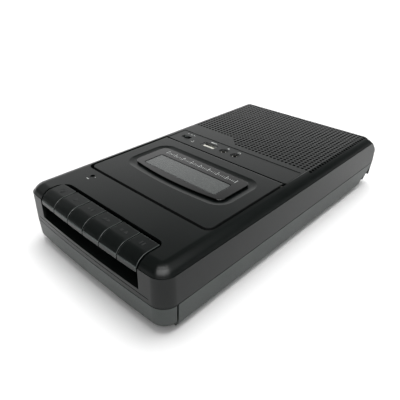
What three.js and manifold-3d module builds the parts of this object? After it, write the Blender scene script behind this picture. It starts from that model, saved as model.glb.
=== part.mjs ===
// A flat portable cassette player: two-part housing, hinged cassette lid, six piano keys,
// pull-out carry handle, tape transport, loudspeaker, circuit board and battery compartment.
// Millimetres. X runs across, Y from the keys (-) to the loudspeaker (+), Z is up.
// The origin is the middle of the footprint, on the surface that the feet stand on.
import * as THREE from "three";
import { mergeVertices } from "three/addons/utils/BufferGeometryUtils.js";
import Module from "manifold-3d";

const wasm = await Module();
wasm.setup();

// ---- Driving dimensions ----
const width = 144;
const length = 252.8; // along the top face
const rearLean = 10; // how far the rear wall leans out from its top edge to the parting line
const height = 47.3;
const wall = 2.2;
const clearance = 0.35; // between pieces that rest on or in each other
const frontBow = 2; // how far the front bulges beyond its corners
const cornerRadius = 10.5;
const rearCornerRadius = 5;
const footHeight = 1;
const partingZ = 20.9; // where the upper and lower housings meet
const edge = { across: 8.9, down: 5.7, lip: 0.5, draft: 0.5 }; // rounded top edge
const belly = { draft: 1.9, band: 0.8, slope: 8.7, rise: 5.9 }; // tapered underside

// The rounded top edge is part of a circle that ends, short of upright, in a crisp crease.
const edgeArc = 2 * Math.atan(edge.down / edge.across);
const edgeRadius = edge.across / Math.sin(edgeArc);

const front = -(length + rearLean) / 2;
const rear = front + length;
const rearWall = rear + rearLean; // below the parting line
const creaseZ = height - edge.down;
const bellyZ = footHeight;
const topUnder = height - wall;

const keys = {
  names: ["record", "play", "rewind", "forward", "stop", "pause"],
  pitch: 17.04,
  gap: 0.6,
  depth: 18, // from the front corners to the keys' rear edge
  skin: 2.6,
  lip: 3.1, // how far the cap hangs below the edge crease
  rearGap: 2.5,
  slotZ: 27, // sill of the dark slot under the keys
  armWidth: 9,
  hubRadius: 4,
  shaftRadius: 1.9,
  shaftBack: 16.4, // shaft axis behind the keys' rear edge
  shaftZ: 38,
};
keys.half = (keys.names.length * keys.pitch) / 2;
keys.rearY = front + frontBow + keys.depth;
keys.shaftY = keys.rearY + keys.shaftBack;
keys.cheek = keys.half + 1;

const lid = {
  margin: 10.6, // from the housing's side to the lid's side
  back: 49, // from the front to the lid's front edge
  depth: 79.7,
  bow: 0.4,
  radius: 4.5,
  thick: 2.4,
  gap: 1.5,
  rearGap: 0.5,
  roll: 2.3, // radius of the rolled rear edge, centred on the hinge
  skirt: 4,
  skirtWall: 1.8,
  pinRadius: 0.9,
};
lid.half = width / 2 - lid.margin;
lid.front = front + lid.back;
lid.rear = lid.front + lid.depth;
lid.hingeY = lid.rear - lid.roll;
lid.hingeZ = height - lid.roll;
lid.under = height - lid.thick;

const bezel = { half: 44.9, rear: 17.2, depth: 32.9, bow: 4, radius: 5, thick: 1.3, proud: 0.5, ledge: 2 };
bezel.rearY = lid.rear - bezel.rear;
bezel.frontY = bezel.rearY - bezel.depth;
const pane = { half: 36.4, rear: 29, depth: 18.3, lap: 2, thick: 0.9 };
pane.rearY = lid.rear - pane.rear;
pane.frontY = pane.rearY - pane.depth;

const deck = { drop: 15.3, thick: 1.2 };
deck.top = height - deck.drop;
deck.under = deck.top - deck.thick;
const wellWall = 1.8;

const handle = { rearY: 11.9, gap: 0.8, bar: 8, leg: 7.2, bottom: 5, arm: 3, armHeight: 9, armBack: 54 };
handle.splitY = front + handle.rearY;
handle.bottomZ = bellyZ + handle.bottom;
handle.topZ = partingZ - clearance;
handle.notchHalf = 30;
handle.notchRise = 1.3;
handle.armOuter = width / 2 - belly.draft - wall - clearance;
handle.armInner = handle.armOuter - handle.arm;
handle.armZ = bellyZ + 8;

const strip = { depth: 21.5 }; // control strip between the lid and the grille
strip.front = lid.rear + lid.rearGap;
strip.rear = strip.front + strip.depth;
strip.midY = strip.front + 11.2;

const grille = { front: 8, pitch: 7.2, slot: 3, margin: 9, bays: 4, rib: 3, stepX: -8 };
grille.frontY = strip.rear + grille.front;
grille.rearY = rear - grille.margin;

const board = { z: 29, thick: 1.6, margin: 8, depth: 28 };
board.top = board.z + board.thick;
board.frontY = lid.rear + lid.rearGap + wellWall + clearance + 0.7;
board.half = width / 2 - board.margin;

const boss = { radius: 4.2, bore: 1.8, inset: 13.5, frontIn: 28.4, rearIn: 14.4, head: 3, headDeep: 3 };
const post = { radius: 3 };
const foot = { radius: 6, sunk: 0.9, inset: 16, frontIn: 43, rearIn: 32 };

const battery = { half: 31, depth: 55, height: 16, wall: 1.6, cover: 2 };
const speaker = { margin: 15.05, flange: 1.6, coneDeep: 11, magnetRadius: 20, dome: 8.5 };
speaker.y = (strip.rear + rear) / 2;
speaker.radius = (rear - strip.rear) / 2 - speaker.margin; // as large as the room behind the strip
speaker.top = topUnder - clearance;
battery.frontY = speaker.y - battery.depth / 2;
battery.rearY = speaker.y + battery.depth / 2;
battery.floorZ = bellyZ + battery.cover;
battery.roofZ = battery.floorZ + battery.height;
const far = 2 * length; // longer than anything it cuts

// ---- Making solids ----

// A closed geometry as a solid that can be joined and cut.
function solid(geometry) {
  const bare = geometry.clone();
  bare.deleteAttribute("normal");
  bare.deleteAttribute("uv");
  const merged = mergeVertices(bare, 1e-4);
  const corners = merged.index.array;
  const kept = [];
  for (let i = 0; i < corners.length; i += 3) {
    const [a, b, c] = corners.slice(i, i + 3);
    if (a !== b && b !== c && c !== a) kept.push(a, b, c);
  }
  return new wasm.Manifold(
    new wasm.Mesh({
      numProp: 3,
      vertProperties: merged.attributes.position.array,
      triVerts: new Uint32Array(kept),
    }),
  );
}

function block(x0, x1, y0, y1, z0, z1) {
  const box = new THREE.BoxGeometry(x1 - x0, y1 - y0, z1 - z0);
  return solid(box.translate((x0 + x1) / 2, (y0 + y1) / 2, (z0 + z1) / 2));
}

// An upright rod from z0 to z1.
function rod(radius, z0, z1, x = 0, y = 0, sides = 20) {
  const round = new THREE.CylinderGeometry(radius, radius, z1 - z0, sides);
  return solid(round.rotateX(Math.PI / 2).translate(x, y, (z0 + z1) / 2));
}

// A level rod along X from x0 to x1.
function rodAcross(radius, x0, x1, y, z, sides = 20) {
  const round = new THREE.CylinderGeometry(radius, radius, x1 - x0, sides);
  return solid(round.rotateZ(Math.PI / 2).translate((x0 + x1) / 2, y, z));
}

// A profile of [radius, z] points turned about the upright axis.
function turned(profile, sides = 24) {
  const points = profile.map(([radius, z]) => new THREE.Vector2(radius, z));
  if (THREE.ShapeUtils.area(points) < 0) points.reverse();
  const onAxis = points[0].x === 0 && points[points.length - 1].x === 0;
  if (!onAxis) points.push(points[0].clone());
  return solid(new THREE.LatheGeometry(points, sides).rotateX(Math.PI / 2));
}

// A level slab of an outline of points.
function slab(points, z0, z1) {
  const options = { depth: z1 - z0, bevelEnabled: false };
  return solid(new THREE.ExtrudeGeometry(new THREE.Shape(points), options).translate(0, 0, z0));
}

// A profile in Y and Z, given as [y, z] points, extruded along X.
function across(profile, x0, x1) {
  const shape = new THREE.Shape(profile.map(([y, z]) => new THREE.Vector2(y, z)));
  const bar = new THREE.ExtrudeGeometry(shape, { depth: x1 - x0, bevelEnabled: false });
  const turn = new THREE.Matrix4().makeBasis(
    new THREE.Vector3(0, 1, 0),
    new THREE.Vector3(0, 0, 1),
    new THREE.Vector3(1, 0, 0),
  );
  return solid(bar.applyMatrix4(turn).translate(x0, 0, 0));
}

// A rounded rectangle, anticlockwise from its front right corner. The front edge, at frontY in
// its corners, bulges by bow in the middle.
function outline({ half, frontY, rearY, radius, rearRadius = radius, bow = 0, steps = 5 }) {
  const bowSteps = 8;
  const points = [];
  const bulge = (x) => bow * (1 - (x / half) ** 2);
  const corners = [
    { sign: 1, round: radius, start: -0.5, atFront: true },
    { sign: 1, round: rearRadius, start: 0, atFront: false },
    { sign: -1, round: rearRadius, start: 0.5, atFront: false },
    { sign: -1, round: radius, start: 1, atFront: true },
  ];
  for (const { sign, round, start, atFront } of corners) {
    const cx = sign * (half - round);
    const cy = atFront ? frontY + round : rearY - round;
    for (let i = 0; i <= steps; i++) {
      const angle = Math.PI * (start + (0.5 * i) / steps);
      const x = cx + round * Math.cos(angle);
      const y = cy + round * Math.sin(angle);
      points.push(new THREE.Vector2(x, atFront ? y - bulge(x) : y));
    }
  }
  if (bow === 0) return points;
  for (let i = 1; i < bowSteps; i++) {
    const x = (half - radius) * ((2 * i) / bowSteps - 1);
    points.push(new THREE.Vector2(x, frontY - bulge(x)));
  }
  return points;
}

// A solid through a stack of level outlines with equal numbers of points.
function loft(levels) {
  const count = levels[0].points.length;
  const positions = [];
  const faces = [];
  for (const { points, z } of levels) for (const p of points) positions.push(p.x, p.y, z);
  for (let level = 0; level + 1 < levels.length; level++) {
    for (let i = 0; i < count; i++) {
      const a = level * count + i;
      const b = level * count + ((i + 1) % count);
      faces.push(a, b, b + count, a, b + count, a + count);
    }
  }
  const top = (levels.length - 1) * count;
  for (const [a, b, c] of THREE.ShapeUtils.triangulateShape(levels[0].points, [])) faces.push(c, b, a);
  const lastPoints = levels[levels.length - 1].points;
  for (const [a, b, c] of THREE.ShapeUtils.triangulateShape(lastPoints, [])) {
    faces.push(top + a, top + b, top + c);
  }
  const geometry = new THREE.BufferGeometry();
  geometry.setAttribute("position", new THREE.Float32BufferAttribute(positions, 3));
  geometry.setIndex(faces);
  return solid(geometry);
}

// The whole housing's outer form, drawn in by inset on every side.
function bodyForm(inset) {
  const arcSteps = 5;
  const levelAt = (z, drawnIn, rearIn = 0) => ({
    z,
    points: outline({
      half: width / 2 - inset - drawnIn,
      frontY: front + frontBow + inset + drawnIn,
      rearY: rear - inset - drawnIn - rearIn,
      radius: Math.max(cornerRadius - inset - drawnIn, 0.6),
      rearRadius: Math.max(rearCornerRadius - inset - drawnIn, 0.6),
      bow: frontBow,
    }),
  });
  // The rear wall leans in to the top without a rounded edge.
  const leaningLevel = (z, drawnIn) => {
    const rise = (z - creaseZ) / edge.down;
    return levelAt(z, drawnIn, -drawnIn - rearLean * 0.4 * (1 - rise));
  };
  const levels = [
    levelAt(bellyZ + inset, belly.draft + belly.band, belly.slope + 3),
    levelAt(bellyZ + inset + belly.band, belly.draft, belly.slope + 2),
    levelAt(bellyZ + inset + belly.rise, belly.draft * 0.75, 1.8),
    levelAt(bellyZ + inset + belly.rise + 2, belly.draft * 0.6, 1.5 - rearLean),
    levelAt(bellyZ + inset + belly.rise + 4, belly.draft * 0.5, -rearLean - belly.draft * 0.5),
    levelAt(partingZ, 0, -rearLean),
    leaningLevel(creaseZ, edge.draft),
    leaningLevel(creaseZ, edge.draft + edge.lip),
  ];
  for (let i = 1; i <= arcSteps; i++) {
    const angle = edgeArc * (1 - i / arcSteps);
    const drawnIn = edge.draft + edge.lip + edge.across - edgeRadius * Math.sin(angle);
    const drop = edgeRadius * (1 - Math.cos(angle));
    levels.push(leaningLevel(creaseZ + (edge.down - inset) * (1 - drop / edge.down), drawnIn));
  }
  return loft(levels);
}

const all = (solids) => solids.reduce((sum, next) => sum.add(next));
const mirrored = (make) => make(1).add(make(-1));

// ---- The scene graph ----
const player = new THREE.Group();
player.name = "cassette_player";

function assembly(name, x = 0, y = 0, z = 0) {
  const group = new THREE.Group();
  group.name = name;
  group.position.set(x, y, z);
  player.add(group);
  return group;
}

const finishes = {
  blackPlastic: [0x34393a, 0.5, 0],
  darkPlastic: [0x1c1e1f, 0.6, 0],
  glossBlack: [0x0b0c0d, 0.12, 0],
  clear: [0x9aa0a2, 0.1, 0],
  steel: [0x9a9c9c, 0.35, 1],
  brass: [0xb08a4a, 0.35, 1],
  rubber: [0x171717, 0.85, 0],
  paper: [0x2a2826, 0.9, 0],
  boardGreen: [0x1f5a3a, 0.55, 0],
  whiteNylon: [0xd8d6cf, 0.5, 0],
};

function piece(parent, name, made, finish, x = 0, y = 0, z = 0) {
  const mesh = made.getMesh();
  const geometry = new THREE.BufferGeometry();
  geometry.setAttribute("position", new THREE.BufferAttribute(mesh.vertProperties, 3));
  geometry.setIndex(new THREE.BufferAttribute(mesh.triVerts, 1));
  geometry.computeVertexNormals();
  const [color, roughness, metalness] = finishes[finish];
  const material = new THREE.MeshStandardMaterial({ color, roughness, metalness, flatShading: true });
  const part = new THREE.Mesh(geometry, material);
  part.name = name;
  part.position.set(x, y, z);
  parent.add(part);
  return part;
}

const outer = bodyForm(0);
const inner = bodyForm(wall);
const withinWall = bodyForm(wall / 2);

// The four corner places of a fitting, set in from the sides, the front and the rear.
function cornerPlaces({ inset, frontIn, rearIn }) {
  const x = width / 2 - inset;
  return [
    { name: "front_left", x: -x, y: front + frontIn },
    { name: "front_right", x, y: front + frontIn },
    { name: "rear_left", x: -x, y: rear - rearIn },
    { name: "rear_right", x, y: rear - rearIn },
  ];
}
const bossPlaces = cornerPlaces(boss);
const footPlaces = cornerPlaces(foot);

// ---- Transport places, measured from the lid's rear edge ----
const transport = { hubSpacing: 42.5, hubBack: 36.8, capstanX: 32, capstanAhead: 25.5 };
transport.hubY = lid.rear - transport.hubBack;
transport.capstanY = transport.hubY - transport.capstanAhead;
const spindle = { shaft: 1.5, table: 10, tableThick: 1.5, tip: 3, hub: 4.6, rise: 9 };
const capstan = { radius: 1.2, bush: 3.2 };
const flywheel = { radius: 21, thick: 5, z: bellyZ + 7 };
const motor = { radius: 13, height: 16, x: -38, shaft: 1, pulley: 4 };
motor.y = transport.capstanY + 2;
const pinch = { radius: 6, pivotOut: 12, armThick: 1.2, retract: 3.7, post: 1.6 };
pinch.y = transport.capstanY - capstan.radius - clearance - pinch.radius - pinch.retract;
pinch.pivotX = transport.capstanX + pinch.pivotOut;
pinch.low = deck.top + clearance;
pinch.rollerLow = pinch.low + pinch.armThick + clearance;
pinch.tall = lid.under - lid.skirt - clearance - pinch.rollerLow; // the roller clears the lid's skirt
const idler = { radius: 6.5, x: -12 };
idler.reach = spindle.table + idler.radius + clearance;
idler.y = Math.sqrt(idler.reach ** 2 - idler.x ** 2);

// ---- Controls on the strip behind the lid ----
const controls = {
  switchX: -49,
  switchTravel: 2.5,
  switchKnob: 3.5,
  usbX: -22,
  usb: { width: 14, depth: 6, tall: 13.5, skin: 0.5 },
  jackX: [-6, 5.8],
  jackRadius: 3.6,
  jackBore: 1.8,
  wheelRadius: 10,
  wheelThick: 3,
  wheelZ: 34.5,
};
controls.wheelX = -(width / 2 - controls.wheelRadius - 0.6);
controls.wheelY = strip.rear + 5;
const inlet = { x: -45, z: 15.2, radius: 4.5, bore: 2.8, length: 11, sunk: 1.2 };
const mic = { inside: 5.1, back: 40.4, hole: 1.8, radius: 3, tall: 2.2 };
mic.x = mic.inside - keys.half;
mic.y = front + mic.back;

function lidOutline(grow) {
  return outline({
    half: lid.half + grow,
    frontY: lid.front - grow,
    rearY: lid.rear + (grow > 0 ? lid.rearGap + Math.max(grow - lid.gap, 0) : 0),
    radius: lid.radius + grow,
    rearRadius: 0.3,
    bow: lid.bow,
  });
}

// ---- Upper housing ----
function upperHousing() {
  const band = block(-far, far, -far, far, partingZ, far);
  let shell = outer.intersect(band).subtract(inner);
  // Key tray under the keys, with cheeks that carry the key shaft.
  const trayBack = keys.shaftY + keys.hubRadius + 2;
  const tray = block(-keys.cheek - wall, keys.cheek + wall, front, trayBack, keys.slotZ - wall, keys.slotZ);
  const cheeks = mirrored((side) => {
    const x = side * (keys.cheek + wall / 2);
    return block(x - wall / 2, x + wall / 2, front, trayBack, keys.slotZ - wall, height);
  });
  shell = shell.add(tray.add(cheeks).intersect(withinWall));
  // Cassette well below the lid's opening.
  const wellTop = topUnder + 0.5;
  const wellFloor = deck.top + clearance;
  shell = shell.add(slab(lidOutline(lid.gap + wellWall), wellFloor, wellTop));
  for (const { x, y } of bossPlaces) {
    shell = shell.add(rod(boss.radius, partingZ, topUnder + 0.5, x, y, 16));
  }
  const keyOpening = block(-keys.cheek, keys.cheek, -far, keys.rearY + keys.rearGap, keys.slotZ, far);
  const shaftHole = rodAcross(keys.shaftRadius + clearance, -far, far, keys.shaftY, keys.shaftZ, 16);
  const cuts = [
    keyOpening,
    shaftHole.intersect(block(-keys.cheek - wall - 1, keys.cheek + wall + 1, -far, far, -far, far)),
    slab(lidOutline(lid.gap), wellFloor - 1, height + 1),
    rodAcross(lid.pinRadius + clearance, -lid.half - lid.gap - 1.4, lid.half + lid.gap + 1.4, lid.hingeY, lid.hingeZ, 12),
    rod(mic.hole, topUnder - 1, far, mic.x, mic.y, 12),
  ];
  for (const { x, y } of bossPlaces) cuts.push(rod(boss.bore, 0, partingZ + 12, x, y, 12));
  // Control strip openings.
  const { usb } = controls;
  const knobRoom = controls.switchKnob / 2 + clearance;
  cuts.push(
    block(
      controls.switchX - controls.switchTravel - knobRoom,
      controls.switchX + controls.switchTravel + knobRoom,
      strip.midY - knobRoom,
      strip.midY + knobRoom,
      topUnder - 1,
      far,
    ),
    block(
      controls.usbX - usb.width / 2 - clearance,
      controls.usbX + usb.width / 2 + clearance,
      strip.midY - usb.depth / 2 - clearance,
      strip.midY + usb.depth / 2 + clearance,
      topUnder - 1,
      far,
    ),
  );
  for (const x of controls.jackX) {
    cuts.push(rod(controls.jackRadius + clearance, topUnder - 1, far, x, strip.midY, 20));
  }
  // Thumbwheel slot through the left wall.
  const slotHalf = controls.wheelRadius - 1;
  cuts.push(
    block(
      -far,
      -width / 2 + wall + edge.draft + 1,
      controls.wheelY - slotHalf,
      controls.wheelY + slotHalf,
      controls.wheelZ - clearance,
      controls.wheelZ + controls.wheelThick + clearance,
    ),
  );
  // Speaker slots in level rows, crossed by ribs. The front row starts behind the controls.
  const rows = Math.floor((grille.rearY - grille.frontY) / grille.pitch);
  const bayWidth = (width - 2 * grille.margin - (grille.bays - 1) * grille.rib) / grille.bays;
  for (let row = 0; row < rows; row++) {
    const y = grille.frontY + grille.pitch * (row + 0.5);
    for (let bay = 0; bay < grille.bays; bay++) {
      const x = grille.margin - width / 2 + bay * (bayWidth + grille.rib);
      if (row === 0 && x < grille.stepX) continue;
      cuts.push(block(x, x + bayWidth, y - grille.slot / 2, y + grille.slot / 2, topUnder - 1, far));
    }
  }
  return shell.subtract(all(cuts));
}

// ---- Lower housing ----
function lowerHousing() {
  const band = block(-far, far, handle.splitY + handle.gap, far, -far, partingZ - clearance);
  const room = block(-far, far, handle.splitY + handle.gap + wall, far, -far, far);
  let shell = outer.intersect(band).subtract(inner.intersect(room));
  const floorTop = bellyZ + wall;
  const adds = [];
  const cuts = [];
  for (const { x, y } of bossPlaces) {
    adds.push(rod(boss.radius, floorTop - 1, partingZ - clearance, x, y, 16));
    cuts.push(rod(boss.bore, 0, far, x, y, 12));
    cuts.push(rod(boss.head + clearance, -far, bellyZ + boss.headDeep + 2, x, y, 16));
  }
  for (const side of [-1, 1]) {
    const deckX = side * (lid.half - 5.5);
    const boardX = side * (board.half - 6);
    adds.push(rod(post.radius, floorTop - 1, deck.under - clearance, deckX, lid.front + 6, 12));
    adds.push(rod(post.radius, floorTop - 1, deck.under - clearance, deckX, lid.rear - 8, 12));
    adds.push(rod(post.radius, floorTop - 1, board.z - clearance, boardX, board.frontY + 5, 12));
    adds.push(rod(post.radius, floorTop - 1, board.z - clearance, boardX, board.frontY + board.depth - 5, 12));
    const slotInner = side * (handle.armInner - clearance);
    const slotOuter = side * (handle.armOuter + clearance);
    cuts.push(
      block(
        Math.min(slotInner, slotOuter),
        Math.max(slotInner, slotOuter),
        handle.splitY,
        handle.splitY + handle.gap + wall + 1,
        handle.armZ - clearance,
        handle.armZ + handle.armHeight + clearance,
      ),
    );
  }
  // Battery compartment, a box that is open underneath.
  const { wall: thin } = battery;
  adds.push(
    block(
      -battery.half - thin,
      battery.half + thin,
      battery.frontY - thin,
      battery.rearY + thin,
      floorTop - 1,
      battery.roofZ + thin,
    ),
  );
  cuts.push(block(-battery.half, battery.half, battery.frontY, battery.rearY, -far, battery.roofZ));
  for (const { x, y } of footPlaces) cuts.push(rod(foot.radius + clearance, -far, bellyZ + foot.sunk, x, y, 20));
  const inletHole = new THREE.CylinderGeometry(inlet.radius + clearance, inlet.radius + clearance, 20, 20);
  cuts.push(solid(inletHole.translate(inlet.x, rearWall, inlet.z)));
  return shell.add(all(adds)).subtract(all(cuts));
}

const shells = assembly("shells");
piece(shells, "upper_housing", upperHousing(), "blackPlastic");
piece(shells, "lower_housing", lowerHousing(), "blackPlastic");
for (const { name, x, y } of footPlaces) {
  const pad = turned([
    [0, 0],
    [foot.radius - 0.6, 0],
    [foot.radius, 0.6],
    [foot.radius, bellyZ + foot.sunk - clearance],
    [0, bellyZ + foot.sunk - clearance],
  ]);
  piece(shells, `foot_${name}`, pad, "rubber", x, y);
}
for (const { name, x, y } of bossPlaces) {
  const seat = bellyZ + boss.headDeep + 2 - clearance;
  const screw = turned(
    [
      [0, seat - 2],
      [boss.head, seat - 2],
      [boss.head, seat],
      [boss.bore - clearance, seat],
      [boss.bore - clearance, partingZ + 10],
      [0, partingZ + 11],
    ],
    16,
  );
  piece(shells, `screw_${name}`, screw, "steel", x, y);
}

// ---- Carry handle: a U round the front, on two arms that slide inside the side walls ----
function carryHandle() {
  const band = block(-far, far, -far, handle.splitY, handle.bottomZ, handle.topZ);
  const room = block(
    -width / 2 + handle.leg,
    width / 2 - handle.leg,
    front + frontBow + handle.bar,
    far,
    -far,
    far,
  );
  const notch = block(-handle.notchHalf, handle.notchHalf, -far, far, -far, handle.bottomZ + handle.notchRise);
  const arms = mirrored((side) => {
    const x = side * ((handle.armInner + handle.armOuter) / 2);
    return block(
      x - handle.arm / 2,
      x + handle.arm / 2,
      handle.splitY - 2,
      handle.splitY + handle.armBack,
      handle.armZ,
      handle.armZ + handle.armHeight,
    );
  });
  return outer.intersect(band).subtract(room).subtract(notch).add(arms);
}
piece(shells, "carry_handle", carryHandle(), "blackPlastic");

// ---- Battery cover and contacts ----
const batteryBay = assembly("battery_bay");
const coverPlate = block(
  -battery.half + clearance,
  battery.half - clearance,
  battery.frontY + clearance,
  battery.rearY - clearance,
  bellyZ,
  battery.floorZ - clearance,
);
piece(batteryBay, "battery_cover", coverPlate, "blackPlastic");
for (const [name, y, side] of [
  ["battery_contacts_front", battery.frontY, 1],
  ["battery_contacts_rear", battery.rearY, -1],
]) {
  const near = y + side * clearance;
  const behind = y + side * (clearance + 0.6);
  const strap = block(
    -battery.half + 2,
    battery.half - 2,
    Math.min(near, behind),
    Math.max(near, behind),
    battery.floorZ + 2,
    battery.roofZ - 1,
  );
  piece(batteryBay, name, strap, "steel");
}

// ---- Keys ----
const keyRow = assembly("key_row");
const keyInner = bodyForm(keys.skin);
keys.names.forEach((name, index) => {
  const middle = (index - (keys.names.length - 1) / 2) * keys.pitch;
  const half = (keys.pitch - keys.gap) / 2;
  const column = block(middle - half, middle + half, -far, keys.rearY, creaseZ - keys.lip, far);
  const hollow = block(middle - half - 1, middle + half + 1, -far, keys.rearY - keys.skin, -far, far);
  const cap = outer.intersect(column).subtract(keyInner.intersect(hollow));
  const arm = block(
    middle - keys.armWidth / 2,
    middle + keys.armWidth / 2,
    keys.rearY - 8,
    keys.shaftY,
    keys.shaftZ - 1.5,
    keys.shaftZ + 2.5,
  );
  const stem = block(
    middle - keys.armWidth / 2,
    middle + keys.armWidth / 2,
    keys.rearY - 8,
    keys.rearY - 1,
    keys.shaftZ - 1.5,
    height - keys.skin + 0.5,
  );
  const hub = rodAcross(keys.hubRadius, middle - half + 0.5, middle + half - 0.5, keys.shaftY, keys.shaftZ, 20);
  const bore = rodAcross(keys.shaftRadius + clearance, -far, far, keys.shaftY, keys.shaftZ, 16);
  piece(keyRow, `key_${name}`, all([cap, arm, stem, hub]).subtract(bore), "blackPlastic");
});
const shaftEnd = keys.cheek + wall - 0.2;
const keyShaft = rodAcross(keys.shaftRadius, -shaftEnd, shaftEnd, keys.shaftY, keys.shaftZ, 16);
piece(keyRow, "key_shaft", keyShaft, "steel");

// A comb of leaf springs on the key tray, one leaf under each key arm.
function keySpring() {
  const low = keys.slotZ + clearance;
  const back = keys.rearY + 10;
  const tip = keys.rearY - 5;
  const base = block(-keys.half + 2, keys.half - 2, back - 5, back, low, low + 0.8);
  const leaves = keys.names.map((name, index) => {
    const middle = (index - (keys.names.length - 1) / 2) * keys.pitch;
    const leaf = [
      [back - 4, low],
      [back - 4, low + 0.8],
      [tip, low + 6],
      [tip, low + 5.2],
    ];
    return across(leaf.reverse(), middle - 2.5, middle + 2.5);
  });
  return base.add(all(leaves));
}
piece(keyRow, "key_spring", keySpring(), "steel");

// ---- Cassette lid ----
const lidGroup = assembly("cassette_lid_group");
function bezelOutline(grow) {
  return outline({
    half: bezel.half + grow,
    frontY: bezel.frontY - grow,
    rearY: bezel.rearY + grow,
    radius: bezel.radius + grow,
    bow: bezel.bow,
  });
}
function cassetteLid() {
  const plate = slab(lidOutline(0), lid.under, height);
  const aheadOfHinge = block(-far, far, -far, lid.hingeY, -far, far);
  const roll = rodAcross(lid.roll, -lid.half, lid.half, lid.hingeY, lid.hingeZ, 24);
  const ring = slab(lidOutline(0), lid.under - lid.skirt, lid.under + 0.5);
  const room = outline({
    half: lid.half - lid.skirtWall,
    frontY: lid.front + lid.skirtWall,
    rearY: far,
    radius: lid.radius - lid.skirtWall,
    bow: lid.bow,
  });
  const skirt = ring.subtract(slab(room, 0, lid.under)).intersect(aheadOfHinge);
  const bore = rodAcross(lid.pinRadius + clearance, -far, far, lid.hingeY, lid.hingeZ, 12);
  return plate
    .intersect(aheadOfHinge)
    .add(skirt)
    .add(roll)
    .subtract(bore)
    .subtract(slab(bezelOutline(clearance), height + bezel.proud - bezel.thick - clearance, far))
    .subtract(slab(bezelOutline(-bezel.ledge), 0, far));
}
piece(lidGroup, "cassette_lid", cassetteLid(), "blackPlastic");
const paneHole = outline({ half: pane.half, frontY: pane.frontY, rearY: pane.rearY, radius: 2 });
const bezelBottom = height + bezel.proud - bezel.thick;
const bezelRing = slab(bezelOutline(0), bezelBottom, height + bezel.proud).subtract(slab(paneHole, 0, far));
piece(lidGroup, "window_bezel", bezelRing, "glossBlack");
const paneTop = bezelBottom - clearance;
const paneOutline = outline({
  half: pane.half + pane.lap,
  frontY: pane.frontY - pane.lap / 2,
  rearY: pane.rearY + pane.lap,
  radius: 2,
});
piece(lidGroup, "clear_window", slab(paneOutline, paneTop - pane.thick, paneTop), "clear");
const springTop = lid.under - clearance;
const leafY = lid.front + 12;
const pressLeaf = across(
  [
    [leafY, springTop - 0.5],
    [leafY + 5, springTop - 0.5],
    [leafY + 12, springTop - 2.5],
    [leafY + 12, springTop - 2],
    [leafY + 5, springTop],
    [leafY, springTop],
  ],
  -16,
  16,
);
piece(lidGroup, "lid_pressure_spring", pressLeaf, "steel");
const pinEnd = lid.half + lid.gap + 1.1;
const hingePin = rodAcross(lid.pinRadius, -pinEnd, pinEnd, lid.hingeY, lid.hingeZ, 12);
piece(lidGroup, "lid_hinge_pin", hingePin, "steel");

// ---- Tape transport ----
const mechanism = assembly("tape_transport");
function deckPlate() {
  const plan = outline({
    half: lid.half + lid.gap,
    frontY: lid.front - lid.gap,
    rearY: lid.rear + lid.rearGap,
    radius: lid.radius,
  });
  const holes = [
    rod(capstan.bush + clearance, 0, far, transport.capstanX, transport.capstanY, 16),
    rod(spindle.shaft + clearance, 0, far, -transport.hubSpacing / 2, transport.hubY, 16),
    rod(spindle.shaft + clearance, 0, far, transport.hubSpacing / 2, transport.hubY, 16),
    rod(
      spindle.shaft + clearance,
      0,
      far,
      transport.hubSpacing / 2 + idler.x,
      transport.hubY + idler.y,
      16,
    ),
  ];
  const pivot = rod(pinch.post, deck.under, deck.top + 3.5, pinch.pivotX, pinch.y, 16);
  return slab(plan, deck.under, deck.top).add(pivot).subtract(all(holes));
}
piece(mechanism, "deck_plate", deckPlate(), "steel");

// Reel spindles: a shaft through the deck, a reel table and a splined tip.
for (const [name, side] of [
  ["supply_spindle", -1],
  ["takeup_spindle", 1],
]) {
  const table = deck.top + clearance;
  const hubTop = table + spindle.tableThick + spindle.rise - 3;
  const reel = turned(
    [
      [0, deck.under - 4],
      [spindle.shaft, deck.under - 4],
      [spindle.shaft, table],
      [spindle.table, table],
      [spindle.table, table + spindle.tableThick],
      [spindle.hub, table + spindle.tableThick],
      [spindle.tip + 0.6, hubTop],
      [0, hubTop + 3],
    ],
    20,
  );
  const fin = block(-0.5, 0.5, 0, spindle.hub - 0.2, table + 1, hubTop);
  const fins = [0, 120, 240].map((turn) => fin.rotate([0, 0, turn]));
  piece(mechanism, name, reel.add(all(fins)), "whiteNylon", (side * transport.hubSpacing) / 2, transport.hubY);
}
const idlerWheel = turned(
  [
    [0, deck.under - 3],
    [spindle.shaft, deck.under - 3],
    [spindle.shaft, deck.top + clearance],
    [idler.radius, deck.top + clearance],
    [idler.radius, deck.top + clearance + spindle.tableThick],
    [0, deck.top + clearance + spindle.tableThick],
  ],
  20,
);
const idlerX = transport.hubSpacing / 2 + idler.x;
piece(mechanism, "idler_wheel", idlerWheel, "rubber", idlerX, transport.hubY + idler.y);

const { capstanX, capstanY } = transport;
const capstanTop = deck.top + spindle.rise;
piece(mechanism, "capstan_shaft", rod(capstan.radius, bellyZ + wall + 1, capstanTop, 0, 0, 16), "steel", capstanX, capstanY);
const bush = turned(
  [
    [capstan.radius + clearance, deck.under - 6],
    [capstan.bush, deck.under - 6],
    [capstan.bush, deck.top + 1],
    [capstan.radius + clearance, deck.top + 1],
  ],
  16,
);
piece(mechanism, "capstan_bearing", bush, "brass", capstanX, capstanY);
const wheel = turned(
  [
    [capstan.radius + clearance, flywheel.z],
    [flywheel.radius, flywheel.z],
    [flywheel.radius, flywheel.z + flywheel.thick],
    [7, flywheel.z + flywheel.thick],
    [7, flywheel.z + flywheel.thick + 3],
    [capstan.radius + clearance, flywheel.z + flywheel.thick + 3],
  ],
  40,
);
piece(mechanism, "flywheel", wheel, "brass", capstanX, capstanY);

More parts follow.
